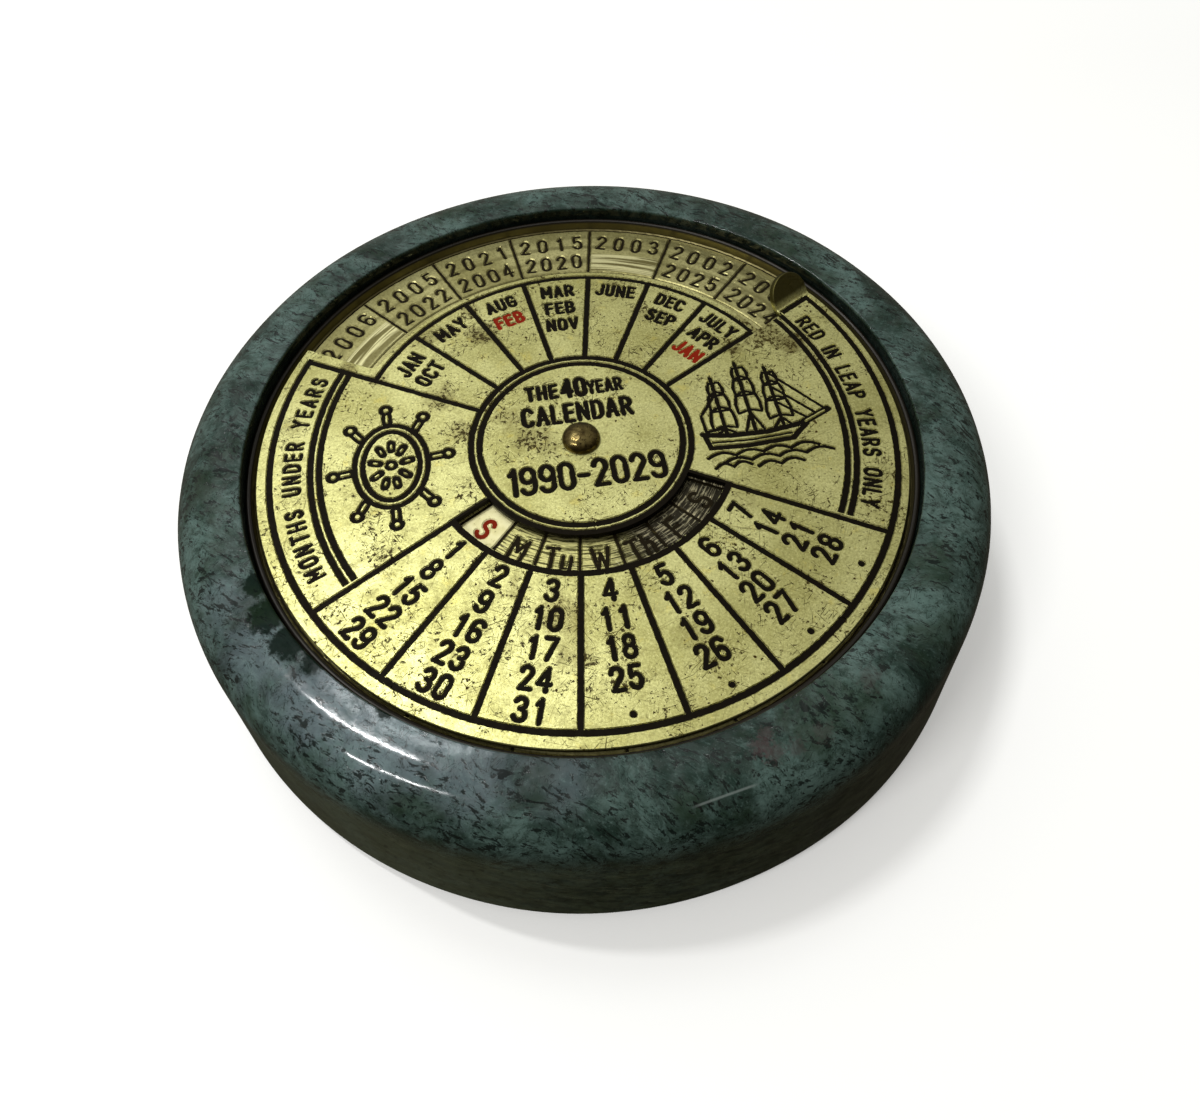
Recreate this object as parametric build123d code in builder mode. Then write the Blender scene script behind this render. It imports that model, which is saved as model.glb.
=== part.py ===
from build123d import *
import math
import os

os.makedirs("parts", exist_ok=True)

# Perpetual calendar paperweight: a round stone block with a brass calendar let
# into its top. The rear pan carries the years and the weekdays and is fixed; the
# dial in front of it turns on a rivet and is moved by a tab bent up from its plate.
# Millimetres, +Z up, origin at the centre of the felt's underside. The dial is
# drawn upright: its year window is towards +Y and its date columns towards -Y.

# Driving dimensions
DIAL_RADIUS = 29.0
STONE_TOP = 17.5
STONE_FOOT_RADIUS = 38.1
STONE_SHOULDER_RADIUS = 1.25 * DIAL_RADIUS
STONE_EDGE_ROUND = 4.6
STONE_FOOT_ROUND = 0.8
RECESS_LIP = 0.2
DIAL_BELOW_STONE = 1.2
DIAL_PLATE = 0.6
PAN_PLATE = 0.8
SECTOR = 360 / 21

# Running and fitting clearances
END_PLAY = 0.03
PIVOT_CLEARANCE = 0.05
DIAL_CLEARANCE = 0.42
RECESS_CLEARANCE = 0.1
FIXED_HOLE_CLEARANCE = 0.02

# Felt foot
FELT_THICKNESS = 0.85
FELT_GLUE = 0.15
FELT_RADIUS = STONE_FOOT_RADIUS - 1.6

# Heights of the stack, from the dial's face downwards
PLATE_GAP = 0.4
PAN_GLUE = 0.2
DIAL_TOP = STONE_TOP - DIAL_BELOW_STONE
DIAL_UNDER = DIAL_TOP - DIAL_PLATE
PAN_FACE = DIAL_UNDER - PLATE_GAP
PAN_UNDER = PAN_FACE - PAN_PLATE
RECESS_FLOOR = PAN_UNDER - PAN_GLUE
STONE_UNDER = FELT_THICKNESS + FELT_GLUE

# Pan and recess
PAN_RIM_INNER = DIAL_RADIUS + DIAL_CLEARANCE
PAN_RIM_WALL = 0.5
PAN_RADIUS = PAN_RIM_INNER + PAN_RIM_WALL
RECESS_RADIUS = PAN_RADIUS + RECESS_CLEARANCE
POCKET_RADIUS = 5.5
POCKET_DEPTH = 2.4

# Rivet and washers
SHANK_RADIUS = 1.15
HEAD_RADIUS = 0.06 * DIAL_RADIUS
HEAD_HEIGHT = 1.05
TAIL_RADIUS = 1.8
TAIL_HEIGHT = 0.6
BACK_WASHER_RADIUS = 3.2
BACK_WASHER_THICKNESS = 0.5
FRICTION_WASHER_RADIUS = 6.0

# Dial layout, as radii on the dial
ENGRAVE_DEPTH = 0.12
LINE = 0.022 * DIAL_RADIUS
LINE_OVERLAP = 0.1
RIM_LINE = (0.952 * DIAL_RADIUS, 0.972 * DIAL_RADIUS)
BAND_LINES = (
    (0.805 * DIAL_RADIUS, 0.825 * DIAL_RADIUS),
    (0.832 * DIAL_RADIUS, 0.852 * DIAL_RADIUS),
)
MONTH_LINE = (0.712 * DIAL_RADIUS, 0.730 * DIAL_RADIUS)
CENTRE_LINES = (
    (0.306 * DIAL_RADIUS, 0.326 * DIAL_RADIUS),
    (0.332 * DIAL_RADIUS, 0.352 * DIAL_RADIUS),
)
WEEKDAY_LINE = (0.467 * DIAL_RADIUS, 0.489 * DIAL_RADIUS)
WINDOW_RADIUS = 0.745 * DIAL_RADIUS
WINDOW_LEFT_MARGIN = 0.032 * DIAL_RADIUS
WINDOW_RIGHT_MARGIN = -0.010 * DIAL_RADIUS
WINDOW_CORNER = 0.9
SLOT_INNER = 0.350 * DIAL_RADIUS
SLOT_OUTER = 0.469 * DIAL_RADIUS

# Angles on the dial, counter-clockwise from +X
WINDOW_RIGHT = 30
WINDOW_LEFT = 150
DATES_START = 210
DATES_SWEEP = 7 * SECTOR

# Year ring on the pan
YEAR_RING_TURN = -1.15
YEAR_RING_INNER = 0.785 * DIAL_RADIUS
YEAR_RING_OUTER = 1.001 * DIAL_RADIUS
YEAR_OUTER_LINE = (YEAR_RING_OUTER, 1.0095 * DIAL_RADIUS)
YEAR_DIVIDER = 0.35
WEEKDAY_RING_INNER = 0.335 * DIAL_RADIUS
WEEKDAY_RING_OUTER = 0.485 * DIAL_RADIUS
WEEKDAY_DIVIDER = 0.3

# Thumb tab, bent up from the window's right edge
TAB_FROM = 0.853 * DIAL_RADIUS
TAB_TO = 0.999 * DIAL_RADIUS
TAB_WIDTH = TAB_TO - TAB_FROM
TAB_BASE = 0.004 * DIAL_RADIUS
TAB_ROOT = TAB_BASE - WINDOW_RIGHT_MARGIN + 0.3
TAB_ANGLE = 51
TAB_BEND = 0.4
TAB_STRAIGHT = 2.65
TAB_END_ROUND = TAB_WIDTH / 2 - 0.04


def add_ring_sector(inner_radius, outer_radius, start, sweep):
    """Add a flat stretch of ring to the sketch that is being drawn."""
    with BuildLine() as outline:
        inside = CenterArc((0, 0), inner_radius, start, sweep)
        outside = CenterArc((0, 0), outer_radius, start, sweep)
        Line(inside @ 0, outside @ 0)
        Line(inside @ 1, outside @ 1)
    make_face(outline.edges())


def add_spoke(inner_radius, outer_radius, angle, width):
    """Add a straight radial line of the given width to the sketch."""
    length = outer_radius - inner_radius
    middle = (inner_radius + outer_radius) / 2
    turn = math.radians(angle)
    with Locations(Location((middle * math.cos(turn), middle * math.sin(turn)), angle)):
        Rectangle(length, width)


def edge_point(angle, margin, distance):
    """Point of the line at this angle, moved sideways by margin, anticlockwise if positive."""
    turn = math.radians(angle)
    x = distance * math.cos(turn) - margin * math.sin(turn)
    y = distance * math.sin(turn) + margin * math.cos(turn)
    return (x, y)


# Stone block: turned profile with the recess and the rivet's pocket in its top.
with BuildPart() as marble_body:
    with BuildSketch(Plane.XZ):
        with BuildLine():
            Polyline(
                (0, STONE_UNDER),
                (STONE_FOOT_RADIUS, STONE_UNDER),
                (STONE_SHOULDER_RADIUS, STONE_TOP),
                (RECESS_RADIUS, STONE_TOP),
                (RECESS_RADIUS, RECESS_FLOOR),
                (POCKET_RADIUS, RECESS_FLOOR),
                (POCKET_RADIUS, RECESS_FLOOR - POCKET_DEPTH),
                (0, RECESS_FLOOR - POCKET_DEPTH),
                close=True,
            )
        make_face()
    revolve(axis=Axis.Z)
    rings = marble_body.edges().filter_by(GeomType.CIRCLE)
    shoulder_ring = rings.group_by(Axis.Z)[-1].sort_by(SortBy.RADIUS)[-1]
    fillet(shoulder_ring, radius=STONE_EDGE_ROUND)
    rings = marble_body.edges().filter_by(GeomType.CIRCLE)
    recess_ring = rings.group_by(Axis.Z)[-1].sort_by(SortBy.RADIUS)[0]
    fillet(recess_ring, radius=RECESS_LIP)
    rings = marble_body.edges().filter_by(GeomType.CIRCLE)
    foot_ring = rings.group_by(Axis.Z)[0].sort_by(SortBy.RADIUS)[-1]
    fillet(foot_ring, radius=STONE_FOOT_ROUND)

# Felt foot and the film of glue that holds it.
with BuildPart() as base_felt:
    with BuildSketch():
        Circle(FELT_RADIUS)
    extrude(amount=FELT_THICKNESS)

with BuildPart() as felt_adhesive:
    with BuildSketch(Plane.XY.offset(FELT_THICKNESS)):
        Circle(FELT_RADIUS - 0.4)
    extrude(amount=FELT_GLUE)

# Ring of glue under the pan.
with BuildPart() as pan_adhesive:
    with BuildSketch(Plane.XY.offset(RECESS_FLOOR)):
        Circle(PAN_RADIUS - 3)
        Circle(POCKET_RADIUS + 2, mode=Mode.SUBTRACT)
    extrude(amount=PAN_GLUE)

# Rear pan: fixed disc with an upturned rim, engraved with the year ring and the
# weekday ring.
with BuildPart() as year_pan:
    with BuildSketch(Plane.XY.offset(PAN_UNDER)):
        Circle(PAN_RADIUS)
        Circle(SHANK_RADIUS + FIXED_HOLE_CLEARANCE, mode=Mode.SUBTRACT)
    extrude(amount=PAN_PLATE)
    with BuildSketch(Plane.XY.offset(PAN_FACE)):
        Circle(PAN_RADIUS)
        Circle(PAN_RIM_INNER, mode=Mode.SUBTRACT)
    extrude(amount=DIAL_TOP - PAN_FACE)
    rim_edges = year_pan.edges().filter_by(GeomType.CIRCLE).group_by(Axis.Z)[-1]
    fillet(rim_edges, radius=0.3 * PAN_RIM_WALL)
    with BuildSketch(Plane.XY.offset(PAN_FACE)):
        add_ring_sector(*YEAR_OUTER_LINE, 0, 180)
        add_ring_sector(*YEAR_OUTER_LINE, 180, 180)
        for cell in range(21):
            year_edge = WINDOW_RIGHT + YEAR_RING_TURN + cell * SECTOR
            weekday_edge = DATES_START + cell * SECTOR
            add_spoke(YEAR_RING_INNER, YEAR_RING_OUTER + LINE_OVERLAP, year_edge, YEAR_DIVIDER)
            add_spoke(WEEKDAY_RING_INNER, WEEKDAY_RING_OUTER, weekday_edge, WEEKDAY_DIVIDER)
    extrude(amount=-ENGRAVE_DEPTH, mode=Mode.SUBTRACT)

# Friction washer that carries the dial.
with BuildPart() as friction_washer:
    with BuildSketch(Plane.XY.offset(PAN_FACE)):
        Circle(FRICTION_WASHER_RADIUS)
        Circle(SHANK_RADIUS + PIVOT_CLEARANCE, mode=Mode.SUBTRACT)
    extrude(amount=PLATE_GAP - END_PLAY)

# Turning dial: plate with the year window, the weekday slot and the thumb tab.
with BuildPart() as dial_plate:
    with BuildSketch(Plane.XY.offset(DIAL_UNDER)):
        Circle(DIAL_RADIUS)
        Circle(SHANK_RADIUS + PIVOT_CLEARANCE, mode=Mode.SUBTRACT)
    extrude(amount=DIAL_PLATE)

    with BuildSketch(Plane.XY.offset(DIAL_UNDER)):
        add_ring_sector(SLOT_INNER, SLOT_OUTER, DATES_START, DATES_SWEEP)
    extrude(amount=DIAL_PLATE, mode=Mode.SUBTRACT)

    near = WINDOW_RADIUS / 2
    beyond = 2 * DIAL_RADIUS
    left_margin = -WINDOW_LEFT_MARGIN
    with BuildSketch(Plane.XY.offset(DIAL_UNDER)) as window:
        with BuildLine():
            Polyline(
                edge_point(WINDOW_RIGHT, WINDOW_RIGHT_MARGIN, near),
                edge_point(WINDOW_RIGHT, WINDOW_RIGHT_MARGIN, beyond),
                (0, 2 * beyond),
                edge_point(WINDOW_LEFT, left_margin, beyond),
                edge_point(WINDOW_LEFT, left_margin, near),
                close=True,
            )
        make_face()
        Circle(WINDOW_RADIUS, mode=Mode.SUBTRACT)
        corner_place = edge_point(WINDOW_LEFT, left_margin, WINDOW_RADIUS)
        left_corner = window.vertices().sort_by_distance(corner_place)[0]
        fillet(left_corner, radius=WINDOW_CORNER)
    extrude(amount=DIAL_PLATE, mode=Mode.SUBTRACT)

    outward = Vector(*edge_point(WINDOW_RIGHT, 0, 1))
    across = Vector(*edge_point(WINDOW_RIGHT, 1, 0))
    tab_place = outward * TAB_FROM + across * TAB_BASE + Vector(0, 0, DIAL_UNDER)
    with BuildSketch(Plane(origin=tab_place, x_dir=across, z_dir=outward)):
        with BuildLine():
            under_flat = Line((-TAB_ROOT, 0), (0, 0))
            under_bend = JernArc(under_flat @ 1, (1, 0), TAB_BEND + DIAL_PLATE, TAB_ANGLE)
            under_straight = PolarLine(under_bend @ 1, TAB_STRAIGHT, TAB_ANGLE)
            tip = PolarLine(under_straight @ 1, DIAL_PLATE, TAB_ANGLE + 90)
            PolarLine(tip @ 1, TAB_STRAIGHT, TAB_ANGLE + 180)
            CenterArc((0, TAB_BEND + DIAL_PLATE), TAB_BEND, -90, TAB_ANGLE)
            over_flat = Line((0, DIAL_PLATE), (-TAB_ROOT, DIAL_PLATE))
            Line(over_flat @ 1, under_flat @ 0)
        make_face()
    extrude(amount=TAB_WIDTH)
    tilt = math.radians(TAB_ANGLE)
    through_tab = across * -math.sin(tilt) + Vector(0, 0, math.cos(tilt))
    tab_corners = dial_plate.edges().filter_by(Axis((0, 0, 0), through_tab)).sort_by(Axis.Z)[-2:]
    fillet(tab_corners, radius=TAB_END_ROUND)

    with BuildSketch(Plane.XY.offset(DIAL_TOP)):
        add_ring_sector(*RIM_LINE, WINDOW_LEFT, 120)
        add_ring_sector(*RIM_LINE, WINDOW_LEFT + 120, 120)
        add_ring_sector(*MONTH_LINE, WINDOW_RIGHT, 120)
        add_ring_sector(*WEEKDAY_LINE, DATES_START, DATES_SWEEP)
        for ring in CENTRE_LINES:
            add_ring_sector(*ring, 0, 180)
            add_ring_sector(*ring, 180, 180)
        for ring in BAND_LINES:
            add_ring_sector(*ring, WINDOW_LEFT, 60)
            add_ring_sector(*ring, -30, 60)
        date_line_end = RIM_LINE[0] + LINE_OVERLAP
        month_line_end = MONTH_LINE[0] + LINE_OVERLAP
        for boundary in range(8):
            add_spoke(WEEKDAY_LINE[0], date_line_end, DATES_START + boundary * SECTOR, LINE)
            add_spoke(CENTRE_LINES[1][0], month_line_end, WINDOW_RIGHT + boundary * SECTOR, LINE)
        add_spoke(MONTH_LINE[0], date_line_end, WINDOW_LEFT, LINE)
    extrude(amount=-ENGRAVE_DEPTH, mode=Mode.SUBTRACT)

# Rivet: domed head above the dial, shank through the stack and a peened tail.
HEAD_UNDER = DIAL_TOP + END_PLAY
BACK_WASHER_UNDER = PAN_UNDER - BACK_WASHER_THICKNESS
with BuildPart() as pivot_rivet:
    with BuildSketch(Plane.XZ):
        with BuildLine():
            crown = (0, HEAD_UNDER + HEAD_HEIGHT)
            dome_radius = (HEAD_RADIUS**2 + HEAD_HEIGHT**2) / (2 * HEAD_HEIGHT)
            RadiusArc((HEAD_RADIUS, HEAD_UNDER), crown, -dome_radius)
            Polyline(
                crown,
                (0, BACK_WASHER_UNDER - TAIL_HEIGHT),
                (TAIL_RADIUS - 0.5, BACK_WASHER_UNDER - TAIL_HEIGHT),
                (TAIL_RADIUS, BACK_WASHER_UNDER - TAIL_HEIGHT / 2),
                (TAIL_RADIUS, BACK_WASHER_UNDER),
                (SHANK_RADIUS, BACK_WASHER_UNDER),
                (SHANK_RADIUS, HEAD_UNDER),
                (HEAD_RADIUS, HEAD_UNDER),
            )
        make_face()
    revolve(axis=Axis.Z)

# Washer that the tail is peened over, inside the stone's pocket.
with BuildPart() as back_washer:
    with BuildSketch(Plane.XY.offset(BACK_WASHER_UNDER)):
        Circle(BACK_WASHER_RADIUS)
        Circle(SHANK_RADIUS + FIXED_HOLE_CLEARANCE, mode=Mode.SUBTRACT)
    extrude(amount=BACK_WASHER_THICKNESS)

pieces = {
    "marble_body": marble_body,
    "base_felt": base_felt,
    "felt_adhesive": felt_adhesive,
    "pan_adhesive": pan_adhesive,
    "year_pan": year_pan,
    "friction_washer": friction_washer,
    "dial_plate": dial_plate,
    "pivot_rivet": pivot_rivet,
    "back_washer": back_washer,
}
for piece_name, piece in pieces.items():
    piece.part.label = piece_name
    export_step(piece.part, f"parts/{piece_name}.step")
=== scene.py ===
"""Looks of the perpetual calendar paperweight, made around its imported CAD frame."""
import math
import random

import bpy
from mathutils import Matrix, Vector, noise
from mathutils.geometry import delaunay_2d_cdt


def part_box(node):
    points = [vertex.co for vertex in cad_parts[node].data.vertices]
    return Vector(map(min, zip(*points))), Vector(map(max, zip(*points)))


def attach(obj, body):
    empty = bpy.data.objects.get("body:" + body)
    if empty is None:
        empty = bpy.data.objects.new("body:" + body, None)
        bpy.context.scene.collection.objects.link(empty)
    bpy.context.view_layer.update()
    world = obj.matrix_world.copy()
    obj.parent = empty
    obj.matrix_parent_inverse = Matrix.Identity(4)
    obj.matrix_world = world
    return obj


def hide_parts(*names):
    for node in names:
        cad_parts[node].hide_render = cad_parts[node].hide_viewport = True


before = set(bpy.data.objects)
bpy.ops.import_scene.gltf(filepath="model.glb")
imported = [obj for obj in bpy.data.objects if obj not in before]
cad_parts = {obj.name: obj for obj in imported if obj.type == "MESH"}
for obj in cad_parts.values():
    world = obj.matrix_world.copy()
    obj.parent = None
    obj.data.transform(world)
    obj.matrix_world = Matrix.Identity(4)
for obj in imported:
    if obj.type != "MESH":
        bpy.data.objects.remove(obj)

# Without a seed, Blender takes this noise's offsets from the clock.
noise.seed_set(1)

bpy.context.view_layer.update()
MM = 0.001


def box_mm(node):
    """Lowest and highest corner of a CAD node, in millimetres."""
    low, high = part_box(node)
    return low / MM, high / MM


# Driving dimensions, read from the frame and kept in millimetres.
DIAL_LOW, DIAL_HIGH = box_mm("dial_plate")
PAN_LOW, PAN_HIGH = box_mm("year_pan")
STONE_LOW, STONE_HIGH = box_mm("marble_body")
RIVET_LOW, RIVET_HIGH = box_mm("pivot_rivet")
FELT_HIGH = box_mm("base_felt")[1]

R = round(DIAL_HIGH.x, 2)
DIAL_PLATE = 0.6
PAN_PLATE = 0.8
DIAL_UNDER = DIAL_LOW.z
DIAL_TOP = DIAL_UNDER + DIAL_PLATE
PAN_UNDER = PAN_LOW.z
PAN_FACE = PAN_UNDER + PAN_PLATE
PAN_RADIUS = PAN_HIGH.x
PAN_RIM_WALL = 0.5
PAN_RIM_TOP = PAN_HIGH.z
SHANK_RADIUS = 1.15
SECTOR = 360 / 21


# ---------------------------------------------------------------- strokes

def polar(radius, degrees):
    """Point of a circle about the origin."""
    angle = math.radians(degrees)
    return Vector((radius * math.cos(angle), radius * math.sin(angle)))


def arc(x, y, rx, ry, start, end, steps=9):
    """Points along an arc of an ellipse, from start to end degrees."""
    points = []
    for i in range(steps + 1):
        a = math.radians(start + (end - start) * i / steps)
        points.append((x + rx * math.cos(a), y + ry * math.sin(a)))
    return points


def loop(x, y, rx, ry):
    """A whole ellipse as two half strokes."""
    return [arc(x, y, rx, ry, 0, 180), arc(x, y, rx, ry, 180, 360)]


def zigzag(*points):
    """Straight strokes from each point to the next, so that corners stay sharp."""
    return [[a, b] for a, b in zip(points, points[1:])]


STEM = [(0, 0), (0, 1)]

# Single-line alphabet in a cell one unit high. Each glyph is its width and its strokes.
GLYPHS = {
    "0": (0.46, [arc(0.23, 0.74, 0.23, 0.26, 0, 180) + [(0, 0.3)],
                 [(0, 0.3)] + arc(0.23, 0.26, 0.23, 0.26, 180, 360) + [(0.46, 0.74)]]),
    "1": (0.16, zigzag((0, 0.8), (0.15, 1), (0.15, 0))),
    "2": (0.46, [arc(0.23, 0.75, 0.22, 0.25, 175, -25) + [(0.02, 0)], [(0.02, 0), (0.46, 0)]]),
    "3": (0.46, [arc(0.22, 0.76, 0.21, 0.24, 160, -90), arc(0.22, 0.26, 0.24, 0.26, 90, -160)]),
    "4": (0.5, zigzag((0.36, 0), (0.36, 1), (0, 0.3), (0.5, 0.3))),
    "5": (0.46, zigzag((0.42, 1), (0.07, 1), (0.04, 0.52)) + [arc(0.22, 0.32, 0.24, 0.32, 140, -155)]),
    "6": (0.46, loop(0.23, 0.28, 0.23, 0.28) + [arc(0.24, 0.74, 0.24, 0.26, 25, 180) + [(0, 0.3)]]),
    "7": (0.46, zigzag((0, 1), (0.46, 1), (0.14, 0))),
    "8": (0.46, loop(0.23, 0.76, 0.2, 0.24) + loop(0.23, 0.27, 0.23, 0.27)),
    "9": (0.46, loop(0.23, 0.72, 0.23, 0.28) + [arc(0.22, 0.26, 0.24, 0.26, 205, 360) + [(0.46, 0.7)]]),
    "-": (0.3, [[(0, 0.45), (0.3, 0.45)]]),
    "A": (0.5, zigzag((0, 0), (0.25, 1), (0.5, 0)) + [[(0.09, 0.3), (0.41, 0.3)]]),
    "B": (0.46, [STEM, [(0, 1)] + arc(0.2, 0.76, 0.22, 0.24, 90, -90) + [(0, 0.52)],
                 [(0, 0.52)] + arc(0.2, 0.26, 0.26, 0.26, 90, -90) + [(0, 0)]]),
    "C": (0.46, [arc(0.24, 0.72, 0.24, 0.28, 20, 180) + [(0, 0.3)]
                 + arc(0.24, 0.28, 0.24, 0.28, 180, 340)]),
    "D": (0.46, [STEM, [(0, 1)] + arc(0.18, 0.7, 0.28, 0.3, 90, 0)
                 + arc(0.18, 0.3, 0.28, 0.3, 0, -90) + [(0, 0)]]),
    "E": (0.4, zigzag((0.4, 1), (0, 1), (0, 0), (0.4, 0)) + [[(0, 0.52), (0.34, 0.52)]]),
    "F": (0.4, zigzag((0.4, 1), (0, 1), (0, 0)) + [[(0, 0.52), (0.33, 0.52)]]),
    "G": (0.48, [arc(0.24, 0.72, 0.24, 0.28, 20, 180) + [(0, 0.3)] + arc(0.24, 0.28, 0.24, 0.28, 180, 360)]
          + zigzag((0.48, 0.28), (0.48, 0.46), (0.27, 0.46))),
    "H": (0.46, [STEM, [(0.46, 0), (0.46, 1)], [(0, 0.5), (0.46, 0.5)]]),
    "I": (0.0, [STEM]),
    "J": (0.36, [[(0.36, 1)] + arc(0.18, 0.2, 0.18, 0.2, 0, -170)]),
    "L": (0.38, zigzag((0, 1), (0, 0), (0.38, 0))),
    "M": (0.58, zigzag((0, 0), (0, 1), (0.29, 0.35), (0.58, 1), (0.58, 0))),
    "N": (0.46, zigzag((0, 0), (0, 1), (0.46, 0), (0.46, 1))),
    "O": (0.48, [arc(0.24, 0.72, 0.24, 0.28, 0, 180) + [(0, 0.3)],
                 [(0, 0.3)] + arc(0.24, 0.28, 0.24, 0.28, 180, 360) + [(0.48, 0.72)]]),
    "P": (0.44, [STEM, [(0, 1)] + arc(0.19, 0.74, 0.25, 0.26, 90, -90) + [(0, 0.48)]]),
    "R": (0.46, [STEM, [(0, 1)] + arc(0.19, 0.74, 0.25, 0.26, 90, -90) + [(0, 0.48)],
                 [(0.2, 0.48), (0.46, 0)]]),
    "S": (0.46, [arc(0.23, 0.76, 0.21, 0.24, 20, 270), arc(0.23, 0.26, 0.23, 0.26, 90, -160)]),
    "T": (0.46, [[(0, 1), (0.46, 1)], [(0.23, 1), (0.23, 0)]]),
    "U": (0.46, [[(0, 1)] + arc(0.23, 0.25, 0.23, 0.25, 180, 360) + [(0.46, 1)]]),
    "V": (0.48, zigzag((0, 1), (0.24, 0), (0.48, 1))),
    "W": (0.7, zigzag((0, 1), (0.17, 0), (0.35, 0.75), (0.53, 0), (0.7, 1))),
    "Y": (0.48, zigzag((0, 1), (0.24, 0.48), (0.48, 1)) + [[(0.24, 0.48), (0.24, 0)]]),
    "u": (0.36, [[(0, 0.64)] + arc(0.18, 0.18, 0.18, 0.18, 180, 360) + [(0.36, 0.64)],
                 [(0.36, 0.3), (0.36, 0)]]),
    "h": (0.36, [STEM, [(0, 0.42)] + arc(0.18, 0.44, 0.18, 0.2, 170, 0) + [(0.36, 0)]]),
}


ROUND_SPACE = 0.42   # a space in curved text, in glyph heights


class Engraving:
    """Strokes to be sunk into a plate, each with the ink that fills it."""

    def __init__(self):
        self.strokes = []

    def line(self, points, width, ink="black", cap="round"):
        self.strokes.append(([Vector(p) for p in points], width, ink, cap))

    def ring(self, radius, width, start, sweep, centre=Vector((0, 0))):
        """An arc about a point near the plate's centre, in lengths that meet end to end."""
        lengths = max(1, math.ceil(abs(sweep) / 90))
        step = sweep / lengths
        for i in range(lengths):
            points = [centre + polar(radius, start + step * (i + k / 40)) for k in range(41)]
            self.line(points, width, cap="flat")

    def spoke(self, inner, outer, degrees, width):
        self.line([polar(inner, degrees), polar(outer, degrees)], width, cap="flat")

    def dot(self, centre, radius, ink="black"):
        centre = Vector(centre)
        reach = Vector((0.02 * radius, 0))
        self.line([centre - reach, centre + reach], 2 * radius, ink)

    def glyph(self, name, corner, right, up, height, width, ink):
        """Draw a glyph with its lower left corner at corner."""
        for stroke in GLYPHS[name][1]:
            self.line([corner + (x * right + y * up) * height for x, y in stroke], width, ink)

    def text(self, words, middle, up_angle, height, width, gap=0.26, ink="black", pitch=None, stretch=1.0):
        """Straight text centred on middle. A pitch gives even spacing, as digits have."""
        up = polar(1, up_angle)
        right = polar(1, up_angle - 90)
        tall = height - width
        wide = tall * stretch
        steps = [GLYPHS[name][0] for name in words]
        if pitch:
            starts = [(i - (len(words) - 1) / 2) * pitch - step * wide / 2 for i, step in enumerate(steps)]
        else:
            total = (sum(steps) + gap * (len(words) - 1)) * wide
            starts = [(sum(steps[:i]) + gap * i) * wide - total / 2 for i in range(len(words))]
        for name, start in zip(words, starts):
            corner = middle + right * start - up * tall / 2
            self.glyph(name, corner, right * stretch, up, tall, width, ink)

    def round_text(self, words, radius, start, end, height, width):
        """Text along a circle from start to end degrees, clockwise, with its tops outward."""
        tall = height - width
        steps = [GLYPHS[name][0] if name != " " else ROUND_SPACE for name in words]
        length = math.radians(start - end) * radius / tall
        gap = (length - sum(steps)) / (len(words) - 1)
        place = 0
        for name, step in zip(words, steps):
            angle = start - math.degrees((place + step / 2) * tall / radius)
            if name != " ":
                up = polar(1, angle)
                right = polar(1, angle - 90)
                corner = up * (radius - tall / 2) - right * step * tall / 2
                self.glyph(name, corner, right, up, tall, width, "black")
            place += step + gap


def resample(points, spacing):
    """Points along a line, at most spacing apart, with its corners kept."""
    result = [points[0]]
    for a, b in zip(points, points[1:]):
        count = max(1, math.ceil((b - a).length / spacing))
        result += [a.lerp(b, (i + 1) / count) for i in range(count)]
    return result


def outline(points, half, cap):
    """Closed outline of a stroke of the given half width."""
    normals = []
    last = len(points) - 1
    for i in range(last + 1):
        before = (points[i] - points[i - 1]).normalized() if i else None
        after = (points[i + 1] - points[i]).normalized() if i < last else None
        along = ((before or after) + (after or before)).normalized()
        spread = 1.0
        if before and after:
            spread = 1 / max(0.6, along.dot(after))
        normals.append(Vector((-along.y, along.x)) * spread)
    left = [p + n * half for p, n in zip(points, normals)]
    right = [p - n * half for p, n in zip(points, normals)]
    if cap == "flat":
        return left[::-1] + right
    ends = []
    for point, normal, way in ((points[-1], normals[-1], 1), (points[0], normals[0], -1)):
        side = normal.normalized() * half * way
        forward = Vector((side.y, -side.x))
        turns = [math.pi * k / 6 for k in range(1, 6)]
        ends.append([point + side * math.cos(a) + forward * math.sin(a) for a in turns])
    return left + ends[0] + right[::-1] + ends[1]


def rough(point, amount, scale):
    """Shift a point of an etched edge a little, always the same way at one place."""
    shift = noise.noise_vector(Vector((point.x / scale, point.y / scale, 7.0)))
    return Vector((point.x + shift.x * amount, point.y + shift.y * amount))


# ---------------------------------------------------------------- engraved plates

BRASS, BLACK, RED, PIT, CREAM = range(5)
INKS = {"black", "red"}


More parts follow.
